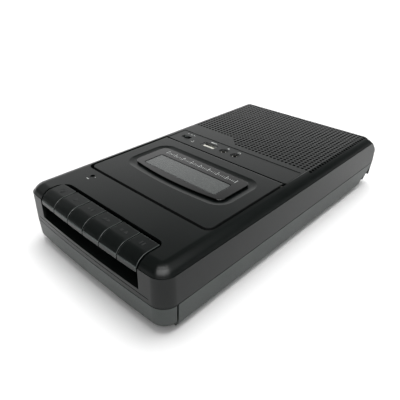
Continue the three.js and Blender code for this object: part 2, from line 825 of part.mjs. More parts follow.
// Pinch roller on its swinging arm.
function pinchArm() {
  const rim = 3.6;
  const points = [];
  for (const [x, start] of [
    [pinch.pivotOut, -0.5],
    [0, 0.5],
  ]) {
    for (let i = 0; i <= 8; i++) {
      const angle = Math.PI * (start + i / 8);
      points.push(new THREE.Vector2(x + rim * Math.cos(angle), rim * Math.sin(angle)));
    }
  }
  const pin = rod(capstan.radius, pinch.low, pinch.rollerLow + pinch.tall + 0.5, 0, 0, 12);
  const hole = rod(pinch.post + clearance, 0, far, pinch.pivotOut, 0, 16);
  return slab(points, pinch.low, pinch.low + pinch.armThick).add(pin).subtract(hole);
}
piece(mechanism, "pinch_arm", pinchArm(), "steel", capstanX, pinch.y);
const roller = turned(
  [
    [capstan.radius + clearance, pinch.rollerLow],
    [pinch.radius, pinch.rollerLow],
    [pinch.radius, pinch.rollerLow + pinch.tall],
    [capstan.radius + clearance, pinch.rollerLow + pinch.tall],
  ],
  24,
);
piece(mechanism, "pinch_roller", roller, "rubber", capstanX, pinch.y);

// Head bridge: a sliding plate that carries the two heads.
const bridge = { left: -26, right: 22, thick: 1, travel: 4, depth: 7 };
bridge.rearY = pinch.y + 1;
bridge.low = deck.top + clearance;
const bridgePlate = block(
  bridge.left,
  bridge.right,
  bridge.rearY - bridge.depth,
  bridge.rearY,
  bridge.low,
  bridge.low + bridge.thick,
);
piece(mechanism, "head_bridge", bridgePlate, "steel");
const headTall = lid.under - lid.skirt - bridge.low - bridge.thick - 2 * clearance; // below the skirt
for (const [name, x, headWidth] of [
  ["record_play_head", 0, 12],
  ["erase_head", -19, 6],
]) {
  const low = bridge.low + bridge.thick + clearance;
  const nose = bridge.rearY + 0.6;
  const can = across(
    [
      [nose - 6.5, low],
      [nose - 1.2, low],
      [nose, low + 2.2],
      [nose, low + headTall - 2.2],
      [nose - 1.2, low + headTall],
      [nose - 6.5, low + headTall],
    ],
    x - headWidth / 2,
    x + headWidth / 2,
  );
  piece(mechanism, name, can, "steel");
}

// Motor under the deck, its pulley and the belt to the flywheel.
const motorTop = deck.under - clearance;
const motorLow = motorTop - motor.height;
const motorCan = rod(motor.radius, motorLow, motorTop, 0, 0, 28);
const motorShaft = rod(motor.shaft, flywheel.z - 0.5, motorLow + 0.5, 0, 0, 12);
piece(mechanism, "drive_motor", motorCan.add(motorShaft), "steel", motor.x, motor.y);
const pulley = turned(
  [
    [motor.shaft + clearance, flywheel.z],
    [motor.pulley, flywheel.z],
    [motor.pulley, flywheel.z + flywheel.thick],
    [motor.shaft + clearance, flywheel.z + flywheel.thick],
  ],
  20,
);
piece(mechanism, "motor_pulley", pulley, "brass", motor.x, motor.y);

// The loop round two wheels, each drawn at its radius plus grow.
function beltOutline(grow) {
  const dx = motor.x - capstanX;
  const dy = motor.y - capstanY;
  const along = Math.atan2(dy, dx);
  const spread = Math.acos((flywheel.radius - motor.pulley) / Math.hypot(dx, dy));
  const points = [];
  const arc = (x, y, radius, from, to, steps) => {
    for (let i = 0; i <= steps; i++) {
      const angle = from + ((to - from) * i) / steps;
      points.push(new THREE.Vector2(x + radius * Math.cos(angle), y + radius * Math.sin(angle)));
    }
  };
  arc(dx, dy, motor.pulley + grow, along - spread, along + spread, 8);
  arc(0, 0, flywheel.radius + grow, along + spread, along + 2 * Math.PI - spread, 32);
  return points;
}
const beltLow = flywheel.z + 1.7;
const beltThick = 0.9;
const belt = slab(beltOutline(clearance + 0.15 + beltThick), beltLow, beltLow + 1.6).subtract(
  slab(beltOutline(clearance + 0.15), 0, far),
);
piece(mechanism, "drive_belt", belt, "rubber", capstanX, capstanY);

// ---- Loudspeaker, hung under the grille ----
const sound = assembly("loudspeaker", 0, speaker.y, speaker.top);
const neck = -speaker.flange - speaker.coneDeep - 2;
const magnetLow = battery.roofZ + battery.wall + clearance - speaker.top;
const basket = turned(
  [
    [speaker.radius, 0],
    [speaker.radius, -speaker.flange],
    [speaker.radius - 4, -speaker.flange],
    [speaker.magnetRadius, neck],
    [speaker.dome + 1, neck],
    [speaker.dome + 1, neck + 1.2],
    [speaker.magnetRadius - 1, neck + 1.2],
    [speaker.radius - 5.5, -speaker.flange + 0.6],
    [speaker.radius - 4, 0],
  ],
  32,
);
piece(sound, "speaker_basket", basket, "steel");
const magnet = turned(
  [
    [0, magnetLow],
    [speaker.magnetRadius, magnetLow],
    [speaker.magnetRadius, neck - clearance],
    [0, neck - clearance],
  ],
  32,
);
piece(sound, "speaker_magnet", magnet, "steel");
const coneLip = speaker.radius - 7.2;
const cone = turned(
  [
    [speaker.dome, neck + 3],
    [speaker.dome + 1, neck + 2.2],
    [coneLip, -1.2],
    [coneLip, -0.4],
    [coneLip - 1.5, -0.8],
    [speaker.dome, neck + 4],
  ],
  32,
);
piece(sound, "speaker_cone", cone, "paper");
const cap = turned(
  [
    [0, neck + 3.4],
    [speaker.dome - clearance, neck + 3.4],
    [speaker.dome - clearance, neck + 4],
    [speaker.dome * 0.6, neck + 6],
    [0, neck + 7],
  ],
  24,
);
piece(sound, "speaker_dust_cap", cap, "paper");

// ---- Circuit board and what stands on it ----
const electronics = assembly("electronics");
const boardSolid = block(
  -board.half,
  board.half,
  board.frontY,
  board.frontY + board.depth,
  board.z,
  board.top,
);
piece(electronics, "main_circuit_board", boardSolid, "boardGreen");
const standing = board.top + clearance;
const switchBody = block(
  controls.switchX - 6,
  controls.switchX + 6,
  strip.midY - 3.5,
  strip.midY + 3.5,
  standing,
  topUnder - 1,
);
piece(electronics, "source_switch_body", switchBody, "steel");
const knob = block(
  controls.switchX - controls.switchKnob / 2,
  controls.switchX + controls.switchKnob / 2,
  strip.midY - controls.switchKnob / 2,
  strip.midY + controls.switchKnob / 2,
  topUnder - 1 + clearance,
  height - 0.3,
);
piece(electronics, "source_switch_knob", knob, "darkPlastic");

const { usb } = controls;
const usbTop = height - 0.6;
const usbShell = block(
  controls.usbX - usb.width / 2,
  controls.usbX + usb.width / 2,
  strip.midY - usb.depth / 2,
  strip.midY + usb.depth / 2,
  standing,
  usbTop,
).subtract(
  block(
    controls.usbX - usb.width / 2 + usb.skin,
    controls.usbX + usb.width / 2 - usb.skin,
    strip.midY - usb.depth / 2 + usb.skin,
    strip.midY + usb.depth / 2 - usb.skin,
    standing + 1.5,
    far,
  ),
);
piece(electronics, "usb_socket_shell", usbShell, "steel");
const tongueFront = strip.midY - usb.depth / 2 + usb.skin + clearance;
const tongue = block(
  controls.usbX - usb.width / 2 + 1.3,
  controls.usbX + usb.width / 2 - 1.3,
  tongueFront,
  tongueFront + 1.7,
  standing + 1.5 + clearance,
  usbTop - 1,
);
piece(electronics, "usb_tongue", tongue, "whiteNylon");

controls.jackX.forEach((x, index) => {
  const jackTop = height - 0.4;
  const jack = turned(
    [
      [0, standing],
      [controls.jackRadius, standing],
      [controls.jackRadius, jackTop],
      [controls.jackBore, jackTop],
      [controls.jackBore, standing + 1.5],
      [0, standing + 1.5],
    ],
    20,
  );
  piece(electronics, index === 0 ? "microphone_jack" : "earphone_jack", jack, "darkPlastic", x, strip.midY);
});

const potTop = controls.wheelZ - clearance;
const pot = block(-6, 6, -6, 6, standing, potTop - 0.2);
const potShaft = rod(2, potTop - 1, controls.wheelZ + controls.wheelThick + 1, 0, 0, 16);
piece(electronics, "volume_control", pot.add(potShaft), "darkPlastic", controls.wheelX, controls.wheelY);
const thumb = turned(
  [
    [2 + clearance, controls.wheelZ],
    [controls.wheelRadius, controls.wheelZ],
    [controls.wheelRadius, controls.wheelZ + controls.wheelThick],
    [2 + clearance, controls.wheelZ + controls.wheelThick],
  ],
  36,
);
piece(electronics, "volume_wheel", thumb, "darkPlastic", controls.wheelX, controls.wheelY);

const capsuleTop = topUnder - clearance;
piece(electronics, "microphone_capsule", rod(mic.radius, capsuleTop - mic.tall, capsuleTop, 0, 0, 20), "steel", mic.x, mic.y);

const inletBody = new THREE.CylinderGeometry(inlet.radius, inlet.radius, inlet.length, 24);
const inletBore = new THREE.CylinderGeometry(inlet.bore, inlet.bore, inlet.length, 20);
const inletPiece = solid(inletBody).subtract(solid(inletBore.translate(0, 1.5, 0)));
piece(electronics, "power_inlet", inletPiece, "darkPlastic", inlet.x, rearWall - inlet.sunk - inlet.length / 2, inlet.z);

export default player;
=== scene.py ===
import math
import bpy
from mathutils import Matrix, Vector


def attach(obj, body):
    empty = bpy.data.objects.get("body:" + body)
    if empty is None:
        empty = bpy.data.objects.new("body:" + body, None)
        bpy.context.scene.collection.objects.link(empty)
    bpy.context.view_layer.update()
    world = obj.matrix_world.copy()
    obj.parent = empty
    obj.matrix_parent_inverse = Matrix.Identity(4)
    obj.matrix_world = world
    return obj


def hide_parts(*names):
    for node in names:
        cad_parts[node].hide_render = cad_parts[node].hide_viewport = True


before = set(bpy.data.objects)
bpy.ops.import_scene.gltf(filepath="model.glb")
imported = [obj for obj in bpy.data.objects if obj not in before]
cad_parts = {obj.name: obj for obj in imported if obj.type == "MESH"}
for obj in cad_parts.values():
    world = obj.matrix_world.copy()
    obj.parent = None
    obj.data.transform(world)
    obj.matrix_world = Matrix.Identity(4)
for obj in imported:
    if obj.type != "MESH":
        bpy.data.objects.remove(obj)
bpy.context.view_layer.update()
print("stage: frame loaded")

# Camera, at a three-quarter view from the right front corner.
cameraView = {
    "azimuth": 43.33,
    "elevation": 31.41,
    "roll": 0.38,
    "lens": 37.38,
    "sensor": 36,
    "clip": (0.01, 100),
    "place": (0.1949, -0.2319, 0.1908),
}


def placeCamera(view):
    azimuth = math.radians(view["azimuth"])
    elevation = math.radians(view["elevation"])
    roll = math.radians(view["roll"])
    level = math.cos(elevation)
    back = Vector((math.sin(azimuth) * level, -math.cos(azimuth) * level, math.sin(elevation)))
    right = Vector((0, 0, 1)).cross(back).normalized()
    up = back.cross(right)
    turnedRight = right * math.cos(roll) + up * math.sin(roll)
    turnedUp = up * math.cos(roll) - right * math.sin(roll)
    data = bpy.data.cameras.new("camera")
    data.lens = view["lens"]
    data.sensor_width = view["sensor"]
    data.clip_start, data.clip_end = view["clip"]
    camera = bpy.data.objects.new("camera", data)
    bpy.context.scene.collection.objects.link(camera)
    turn = Matrix((turnedRight, turnedUp, back)).transposed().to_4x4()
    camera.matrix_world = Matrix.Translation(view["place"]) @ turn
    bpy.context.scene.camera = camera


placeCamera(cameraView)


# ---- Modelling helpers ----
# Pieces are modelled in millimetres from the middle of the top face, and finished in metres from
# the middle of the footprint, which is half the rear wall's lean further back.
drawnFrom = (0, -0.005, 0)
cornerSteps = 9
# How far cutting shapes reach: past the sides, the front and the top.
sideOut = 80
frontOut = -200
topOut = 60


def activate(piece):
    bpy.ops.object.select_all(action="DESELECT")
    piece.hide_viewport = False
    piece.select_set(True)
    bpy.context.view_layer.objects.active = piece


def pick(piece, kind, test):
    # Goes into edit mode with the vertices, edges or faces selected whose place passes the test.
    activate(piece)
    mesh = piece.data
    for group in (mesh.vertices, mesh.edges, mesh.polygons):
        group.foreach_set("select", [False] * len(group))
    if kind == "FACE":
        for face in mesh.polygons:
            face.select = test(face.center, face.normal)
    elif kind == "EDGE":
        for edge in mesh.edges:
            a, b = (mesh.vertices[i].co for i in edge.vertices)
            edge.select = test((a + b) / 2, b - a)
    else:
        for vertex in mesh.vertices:
            vertex.select = test(vertex.co, None)
    bpy.context.tool_settings.mesh_select_mode = (kind == "VERT", kind == "EDGE", kind == "FACE")
    bpy.ops.object.mode_set(mode="EDIT")


def anywhere(place, way):
    return True


def leaveEdit():
    bpy.ops.object.mode_set(mode="OBJECT")


def settle(piece):
    # Moves the object's place, turn and size into its mesh.
    activate(piece)
    bpy.ops.object.transform_apply(location=True, rotation=True, scale=True)


def newPiece(name, scale=(1, 1, 1), rotation=(0, 0, 0)):
    # The primitive that was just added, named, sized and turned.
    piece = bpy.context.object
    piece.name = name
    piece.scale = scale
    piece.rotation_euler = rotation
    settle(piece)
    return piece


def around(middle, half):
    return (middle - half, middle + half)


def addBox(name, x, y, z):
    bpy.ops.mesh.primitive_cube_add(size=1, location=[(low + high) / 2 for low, high in (x, y, z)])
    return newPiece(name, scale=[high - low for low, high in (x, y, z)])


def addRod(name, radius, z, place=(0, 0), sides=32, topRadius=None):
    bpy.ops.mesh.primitive_cone_add(
        vertices=sides,
        radius1=radius,
        radius2=radius if topRadius is None else topRadius,
        depth=z[1] - z[0],
        location=(place[0], place[1], (z[0] + z[1]) / 2),
    )
    return newPiece(name)


def addRodAcross(name, radius, x, y, z, sides=32):
    bpy.ops.mesh.primitive_cylinder_add(
        vertices=sides, radius=radius, depth=x[1] - x[0], location=((x[0] + x[1]) / 2, y, z)
    )
    return newPiece(name, rotation=(0, math.pi / 2, 0))


def applyModifier(piece, kind, **settings):
    modifier = piece.modifiers.new("step", kind)
    for name, value in settings.items():
        setattr(modifier, name, value)
    activate(piece)
    bpy.ops.object.modifier_apply(modifier="step")


def combine(piece, other, operation="DIFFERENCE"):
    before = len(piece.data.polygons)
    applyModifier(piece, "BOOLEAN", object=other, operation=operation, solver="MANIFOLD")
    if len(piece.data.polygons) == before and operation == "DIFFERENCE":
        print("note:", other.name, "left", piece.name, "as it was")
    bpy.data.objects.remove(other)


def copyPiece(piece, name):
    twin = piece.copy()
    twin.data = piece.data.copy()
    twin.name = name
    bpy.context.scene.collection.objects.link(twin)
    return twin


def giveTwoSlots(piece):
    while len(piece.data.materials) < 2:
        piece.data.materials.append(None)


def softenEdges(piece, width, segments=2, angle=35):
    # The new edge faces take the piece's second material.
    giveTwoSlots(piece)
    applyModifier(
        piece,
        "BEVEL",
        material=1,
        width=width,
        segments=segments,
        limit_method="ANGLE",
        angle_limit=math.radians(angle),
        harden_normals=False,
        miter_outer="MITER_ARC",
    )


def joinPieces(pieces, name):
    activate(pieces[0])
    for piece in pieces[1:]:
        piece.select_set(True)
    bpy.ops.object.join()
    pieces[0].name = name
    return pieces[0]


def roundEdges(piece, radius, segments, test, material=-1):
    pick(piece, "EDGE", test)
    bpy.ops.mesh.bevel(offset=radius, segments=segments, affect="EDGES", material=material)
    leaveEdit()


def sliceOff(piece, place, way):
    # Cuts away what lies past a plane, and closes the cut.
    pick(piece, "FACE", anywhere)
    bpy.ops.mesh.bisect(plane_co=place, plane_no=way, use_fill=True, clear_outer=True)
    leaveEdit()


def growFaces(steps):
    # Steps the selected faces. Each step is how far in, then how far out.
    for inward, outward in steps:
        if inward == 0:
            bpy.ops.mesh.extrude_region_move(TRANSFORM_OT_translate={"value": (0, 0, outward)})
        else:
            bpy.ops.mesh.inset(thickness=inward, depth=outward)


def stepTop(piece, steps):
    pick(piece, "FACE", lambda place, normal: normal.z > 0.9)
    growFaces(steps)
    leaveEdit()


def finishPiece(piece, material, body, replaced=(), smooth=38, edge=None):
    giveTwoSlots(piece)
    piece.data.materials[0] = material
    piece.data.materials[1] = edge or material
    activate(piece)
    bpy.ops.object.shade_smooth_by_angle(angle=math.radians(smooth))
    applyModifier(piece, "WEIGHTED_NORMAL", keep_sharp=True, weight=100)
    piece.scale = (0.001, 0.001, 0.001)
    piece.location = drawnFrom
    settle(piece)
    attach(piece, body)
    if replaced:
        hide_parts(*replaced)


# ---- Materials ----
def linearColour(code):
    channels = [int(code[i : i + 2], 16) / 255 for i in (1, 3, 5)]
    return [c / 12.92 if c <= 0.04045 else ((c + 0.055) / 1.055) ** 2.4 for c in channels] + [1]


def addNode(tree, kind, inputs=None, **settings):
    node = tree.nodes.new(kind)
    for name, value in settings.items():
        setattr(node, name, value)
    for socket, value in (inputs or {}).items():
        if isinstance(value, bpy.types.NodeSocket):
            tree.links.new(value, node.inputs[socket])
        else:
            node.inputs[socket].default_value = value
    return node


def addNoise(tree, place, size, detail, roughness=0.5):
    inputs = {"Vector": place, "Scale": 1000 / size, "Detail": detail, "Roughness": roughness}
    return addNode(tree, "ShaderNodeTexNoise", inputs).outputs["Fac"]


def addBump(tree, height, strength, distance):
    inputs = {"Height": height, "Strength": strength, "Distance": distance}
    return addNode(tree, "ShaderNodeBump", inputs).outputs["Normal"]


def addRange(tree, value, source, target, blend="LINEAR"):
    # Carries a value from one range over to another.
    inputs = {"Value": value}
    inputs["From Min"], inputs["From Max"] = source
    inputs["To Min"], inputs["To Max"] = target
    return addNode(tree, "ShaderNodeMapRange", inputs, interpolation_type=blend).outputs["Result"]


def newMaterial(name):
    material = bpy.data.materials.new(name)
    material.use_nodes = True
    tree = material.node_tree
    tree.nodes.clear()
    return material, tree, addNode(tree, "ShaderNodeTexCoord").outputs["Object"]


def addShader(tree, inputs):
    shader = addNode(tree, "ShaderNodeBsdfPrincipled", inputs)
    addNode(tree, "ShaderNodeOutputMaterial", {"Surface": shader.outputs["BSDF"]})


noiseSpan = (0.3, 0.7)  # where nearly all of a noise's values lie
shadeStops = (0.32, 0.68)


def texturedFinish(name, shades, drift, grain, roughness, metallic=0, ior=1.5, specular=0.5):
    # Two close shades drift over the surface, and the grain lifts it and dulls it in places.
    # The drift is a size; the grain is a size, a height and a strength; sizes are in millimetres.
    material, tree, place = newMaterial(name)
    grainSize, grainHeight, bump = grain
    pebbles = addNoise(tree, place, grainSize, 2, 0.6)
    shade = addNode(tree, "ShaderNodeValToRGB", {"Fac": addNoise(tree, place, drift, 3, 0.55)})
    for element, stop, code in zip(shade.color_ramp.elements, shadeStops, shades):
        element.position = stop
        element.color = linearColour(code)
    middle, spread = roughness
    addShader(
        tree,
        {
            "Base Color": shade.outputs["Color"],
            "Roughness": addRange(tree, pebbles, noiseSpan, (middle - spread, middle + spread)),
            "Normal": addBump(tree, pebbles, bump, grainHeight / 1000),
            "Metallic": metallic,
            "IOR": ior,
            "Specular IOR Level": specular,
        },
    )
    return material


# Black ABS moulded against a spark-eroded tool: a soft sheen broken by a fine pebble grain.
# The real grain is about 0.15 mm and is drawn at 0.7 mm so that it shows.
sparkErodedAbs = texturedFinish(
    "moulded_abs_black",
    shades=("#0a0e0d", "#0f1312"),
    drift=40,
    grain=(0.7, 0.03, 0.35),
    roughness=(0.32, 0.04),
    ior=1.53,
    specular=0.23,
)
# The same plastic along its edges, painted much lighter as a highlight, with a fainter grain.
edgeHighlightAbs = texturedFinish(
    "moulded_abs_black_edge_highlight",
    shades=("#3b413f", "#505654"),
    drift=12,
    grain=(1.4, 0.01, 0.15),
    roughness=(0.24, 0.05),
    ior=1.53,
)
# The lower half and the handle come from another tool with a slightly coarser grain; their paler shade is
# a painted reflection of the bright floor.
floorReflectionCoarseAbs = texturedFinish(
    "moulded_abs_coarse_painted_reflection",
    shades=("#3a3f3d", "#424745"),
    drift=40,
    grain=(0.9, 0.04, 0.4),
    roughness=(0.42, 0.05),
    ior=1.53,
    specular=0.3,
)
# Its edges, painted lighter still as a highlight, with a fainter grain.
edgeHighlightCoarseAbs = texturedFinish(
    "moulded_abs_coarse_edge_highlight",
    shades=("#4a4f4d", "#565b59"),
    drift=12,
    grain=(1.4, 0.01, 0.15),
    roughness=(0.3, 0.05),
    ior=1.53,
)
# Unpainted inner plastic: plain matt black, never polished. It also stands as painted shade on the lid's
# gap walls and the handle's edges.
innerPlasticAndShade = texturedFinish(
    "moulded_abs_inner_black_and_shade",
    shades=("#101212", "#181a1a"),
    drift=15,
    grain=(1, 0.02, 0.3),
    roughness=(0.55, 0.08),
    specular=0.3,
)
# Natural nylon for the wheels: milky, waxy, faintly mottled.
nylon = texturedFinish(
    "nylon_natural",
    shades=("#bdbcb2", "#d3d2c8"),
    drift=4,
    grain=(0.8, 0.02, 0.2),
    roughness=(0.45, 0.08),
)
# Nitrile rubber: dead black with a chalky bloom that comes and goes.
rubber = texturedFinish(
    "rubber_nitrile",
    shades=("#0d0d0d", "#1c1c1b"),
    drift=5,
    grain=(0.6, 0.05, 0.5),
    roughness=(0.82, 0.08),
    specular=0.3,
)
# Pulp cone: felt-like grey black fibres with no shine.
conePaper = texturedFinish(
    "paper_pulp_cone",
    shades=("#161514", "#24221f"),
    drift=3,
    grain=(0.5, 0.08, 0.7),
    roughness=(0.92, 0.05),
    specular=0.2,
)
# Glass-epoxy board under green solder mask: glossy lacquer over a faint weave.
boardLaminate = texturedFinish(
    "epoxy_board_green",
    shades=("#123a26", "#1a4d33"),
    drift=6,
    grain=(0.8, 0.02, 0.3),
    roughness=(0.35, 0.1),
)
# Zinc-plated steel: a grey satin with cloudy patches.
platedSteel = texturedFinish(
    "steel_zinc_plated",
    shades=("#8d9091", "#b4b6b6"),
    drift=3,
    grain=(0.6, 0.01, 0.3),
    roughness=(0.34, 0.1),
    metallic=1,
)
# Bright nickel plate: smoother and warmer than the zinc, with fine pits.
nickelPlate = texturedFinish(
    "nickel_plate",
    shades=("#9c9a94", "#bab8b1"),
    drift=4,
    grain=(0.5, 0.005, 0.2),
    roughness=(0.2, 0.06),
    metallic=1,
)
# Turned brass: yellow, dulled in patches by tarnish.
turnedBrass = texturedFinish(
    "brass_turned",
    shades=("#8a6c35", "#b8954f"),
    drift=5,
    grain=(0.5, 0.008, 0.3),
    roughness=(0.3, 0.1),
    metallic=1,
)
# Sintered ferrite: charcoal, brittle looking, with a slightly sparkling grain.
ferrite = texturedFinish(
    "ferrite_sintered",
    shades=("#1d1e20", "#2c2d30"),
    drift=6,
    grain=(0.5, 0.04, 0.5),
    roughness=(0.6, 0.1),
)
# Acrylic printed black from behind: mirror-like, with faint waves from moulding.
glossAcrylic = texturedFinish(
    "acrylic_gloss_black",
    shades=("#050606", "#070808"),
    drift=25,
    grain=(14, 0.02, 0.15),
    roughness=(0.09, 0.03),
    ior=1.49,
)
# Near-black ink pad-printed on the key tops, thin and a little patchy.
markInk = texturedFinish(
    "pad_printed_ink_grey",
    shades=("#0c0f0e", "#1c201f"),
    drift=1.5,
    grain=(0.5, 0.01, 0.2),
    roughness=(0.55, 0.08),
)
# Screen-printed white ink: matt, slightly uneven where the mesh left it thin.
whiteInk = texturedFinish(
    "screen_printed_ink_white",
    shades=("#b9bcba", "#d3d6d4"),
    drift=2,
    grain=(0.5, 0.01, 0.2),
    roughness=(0.6, 0.05),
)


def clearFinish(name, look):
    # Light passes through a smoky tint, and fine scratches scatter the reflection.
    material, tree, place = newMaterial(name)
    drawn = addNode(tree, "ShaderNodeMapping", {"Vector": place, "Scale": look["scratches"]})
    scuff = addNode(tree, "ShaderNodeTexNoise", {"Vector": drawn.outputs["Vector"], "Detail": 3})
    haze = addNoise(tree, place, look["hazeSize"], 2)
    addShader(
        tree,
        {
            "Base Color": linearColour(look["tint"]),
            "Roughness": addRange(tree, haze, noiseSpan, look["roughness"]),
            "Normal": addBump(tree, scuff.outputs["Fac"], look["bump"], look["scratchDepth"] / 1000),
            "IOR": 1.49,
            "Transmission Weight": look["clearness"],
        },
    )
    return material


# Smoke-tinted acrylic: you see the spindles through a grey veil, under a soft reflection.
smokedAcrylic = clearFinish(
    "acrylic_smoked_clear",
    {
        "tint": "#747877", "clearness": 0.7, "hazeSize": 9, "roughness": (0.03, 0.075),
        "scratches": (250, 2500, 2500), "scratchDepth": 0.02, "bump": 0.003,
    },
)


# ---- Floor and light ----
studio = {
    "floorShade": "#f4f4f4",
    "floorHalf": 12,
    "floorFibre": 2.5,
    "floorBump": 0.02,
    # strength, spread in degrees and where from
    "suns": (("key_light", 2.2, 40, (-0.02, 0.21, 0.97)), ("fill_light", 1.9, 140, (0, 0, 1))),
    # power, side and place
    "boxes": (("corner_box", 19, 1.0, (0.50, -0.60, 0.85)), ("streak_box", 5, 0.9, (0.62, -0.05, 0.80))),
    "boxAim": (0.068, -0.12, 0.045),
    "wallTop": (0.38, 0.62),
    "wallWay": (-0.75, 0.66, 0),
    "wallEdge": (0.3, 0.7),
    "sky": (0.015, 1.2),
}


def layFloor(settings):
    bpy.ops.mesh.primitive_grid_add(x_subdivisions=8, y_subdivisions=8, size=2 * settings["floorHalf"])
    floor = newPiece("floor")
    material, tree, place = newMaterial("matt_paper_white")
    fibre = addNoise(tree, place, settings["floorFibre"], 2)
    bump = addNode(tree, "ShaderNodeBump", {"Height": fibre, "Strength": settings["floorBump"]})
    addShader(
        tree,
        {
            "Base Color": linearColour(settings["floorShade"]),
            "Roughness": 0.9,
            "Specular IOR Level": 0.1,
            "Normal": bump.outputs["Normal"],
        },
    )
    floor.data.materials.append(material)


def hangLight(name, kind, strength, way):
    lamp = bpy.data.lights.new(name, kind)
    lamp.energy = strength
    light = bpy.data.objects.new(name, lamp)
    bpy.context.scene.collection.objects.link(light)
    light.rotation_euler = Vector(way).to_track_quat("Z", "Y").to_euler()
    return light


def lightStudio(settings):
    scene = bpy.context.scene
    scene.view_settings.view_transform = "Standard"
    for name, strength, spread, way in settings["suns"]:
        sun = hangLight(name, "SUN", strength, way)
        sun.data.angle = math.radians(spread)
        sun.visible_glossy = False
    # Two softboxes to the right, for a highlight on the near corner and a streak behind it.
    for name, power, size, place in settings["boxes"]:
        box = hangLight(name, "AREA", power, Vector(place) - Vector(settings["boxAim"]))
        box.data.size = size
        box.location = place
        box.visible_diffuse = False
    # A bright wall low behind on the left, and a dark room elsewhere.
    world = bpy.data.worlds.new("studio")
    world.use_nodes = True
    scene.world = world
    tree = world.node_tree
    tree.nodes.clear()
    way = addNode(tree, "ShaderNodeTexCoord").outputs["Generated"]
    height = addNode(tree, "ShaderNodeSeparateXYZ", {"Vector": way}).outputs["Z"]
    low = addRange(tree, height, settings["wallTop"], (1, 0), "SMOOTHSTEP")
    aim = addNode(tree, "ShaderNodeVectorMath", {0: way, 1: settings["wallWay"]}, operation="DOT_PRODUCT")
    side = addRange(tree, aim.outputs["Value"], settings["wallEdge"], (0, 1), "SMOOTHSTEP")
    both = addNode(tree, "ShaderNodeMath", {0: low, 1: side}, operation="MULTIPLY")
    level = addRange(tree, both.outputs["Value"], (0, 1), settings["sky"])
    sky = addNode(tree, "ShaderNodeBackground", {"Color": (1, 1, 1, 1), "Strength": level})
    addNode(tree, "ShaderNodeOutputWorld", {"Surface": sky.outputs["Background"]})


layFloor(studio)
lightStudio(studio)
print("stage: camera, floor and light")


# ---- Sheets and forms that the shells share ----
shell = {
    "half": 72,
    "front": -124.4,  # at the corners, before the bow
    "rear": 146,  # before the leaning rear wall is cut
    "rearTop": 125.8,
    "rearCrease": 129.9,
    "rearWall": 136.4,
    "rearEdge": 1.6,
    "bow": 2,
    "cornerRadius": 10.5,
    "wall": 2.2,
    "parting": 20.9,
    "crease": 41.6,
    "top": 47.3,
    "draft": 0.5,
    "lip": 0.5,
    "across": 8.9,
    "down": 5.7,
    "arcSteps": 9,
}


def planSheet(name, z, half, front, rear, radius, rearRadius=None, bow=0):
    # A level sheet with rounded corners and a bowed front edge.
    rearRadius = radius if rearRadius is None else rearRadius
    bpy.ops.mesh.primitive_plane_add(size=1, location=(0, (front + rear) / 2, z))
    sheet = newPiece(name, scale=(2 * half, rear - front, 1))
    for edgeY, corner in ((front, radius), (rear, rearRadius)):
        if corner > 0:
            pick(sheet, "VERT", lambda place, way: abs(place.y - edgeY) < 0.01)
            bpy.ops.mesh.bevel(offset=corner, segments=cornerSteps, affect="VERTICES")
            leaveEdit()
    if bow:
        span = 2 * (half - radius)
        pick(sheet, "EDGE", lambda place, way: abs(place.y - front) < 0.01 and abs(way.x) > span * 0.9)
        bpy.ops.mesh.subdivide(number_cuts=15)
        leaveEdit()
        pick(sheet, "VERT", lambda place, way: abs(place.y - front) < 0.01 and abs(place.x) < 0.01)
        bpy.ops.transform.translate(
            value=(0, -bow, 0),
            use_proportional_edit=True,
            proportional_edit_falloff="INVERSE_SQUARE",
            proportional_size=half,
        )
        leaveEdit()
    return sheet


def stackUp(sheet, steps):
    # Grows a closed solid from a sheet. Each step is how far in, then how far up.
    pick(sheet, "FACE", anywhere)
    growFaces(steps)
    bpy.ops.mesh.select_all(action="DESELECT")
    bpy.ops.mesh.select_mode(type="EDGE")
    bpy.ops.mesh.select_non_manifold()
    bpy.ops.mesh.edge_face_add()
    bpy.ops.mesh.select_all(action="SELECT")
    bpy.ops.mesh.normals_make_consistent(inside=False)
    leaveEdit()
    return sheet


def outlineSheet(name, z, plan, grow=0):
    # A sheet of a named outline, which may be grown or shrunk all round.
    return planSheet(
        name,
        z,
        plan["half"] + grow,
        plan["front"] - grow,
        plan["rear"] + grow,
        plan["radius"] + grow,
        plan.get("rearRadius"),
        plan["bow"],
    )


def bodySheet(name, z, inset=0):
    return planSheet(
        name,
        z,
        shell["half"] - inset,
        shell["front"] + inset,
        shell["rear"] - inset,
        shell["cornerRadius"] - inset,
        bow=shell["bow"],
    )


def topForm(name, inset=0, bottom=None):
    # The outer form above the parting line, drawn in by inset.
    bottom = shell["parting"] if bottom is None else bottom
    sweep = 2 * math.atan(shell["down"] / shell["across"])
    radius = shell["across"] / math.sin(sweep)
    steps = [(shell["draft"], shell["crease"] - bottom), (shell["lip"], 0)]
    squash = (shell["down"] - inset) / shell["down"]
    arcSteps = shell["arcSteps"]
    for i in range(arcSteps):
        a = sweep * (1 - i / arcSteps)
        b = sweep * (1 - (i + 1) / arcSteps)
        steps.append((radius * (math.sin(a) - math.sin(b)), radius * (math.cos(b) - math.cos(a)) * squash))
    form = stackUp(bodySheet(name, bottom, inset), steps)
    # The rear wall leans, more steeply towards the top.
    top, crease, parting = shell["top"], shell["crease"], shell["parting"]
    for y, z, dy, dz in (
        (shell["rearCrease"], crease, shell["rearWall"] - shell["rearCrease"], crease - parting),
        (shell["rearTop"], top, shell["rearCrease"] - shell["rearTop"], top - crease),
        (shell["rearWall"], 0, 0, 1),
    ):
        sliceOff(form, (0, y - inset, z), (0, dz, dy))
    if inset == 0:
        roundEdges(form, shell["rearEdge"], 4, isRearRim)
    return form


def isRearRim(place, way):
    # The edges around the rear wall, apart from the wall's own creases and its foot.
    onTop = place.z > shell["crease"] + 0.5 and place.y > shell["rearTop"] - 0.3
    onSide = abs(place.x) > shell["half"] - 2.5 and place.y > shell["rearTop"] and place.z > 21.5
    across = abs(way.x) > 100 and place.z < shell["top"] - 0.2
    return (onTop or onSide) and not across


outerForm = topForm("outer_form")

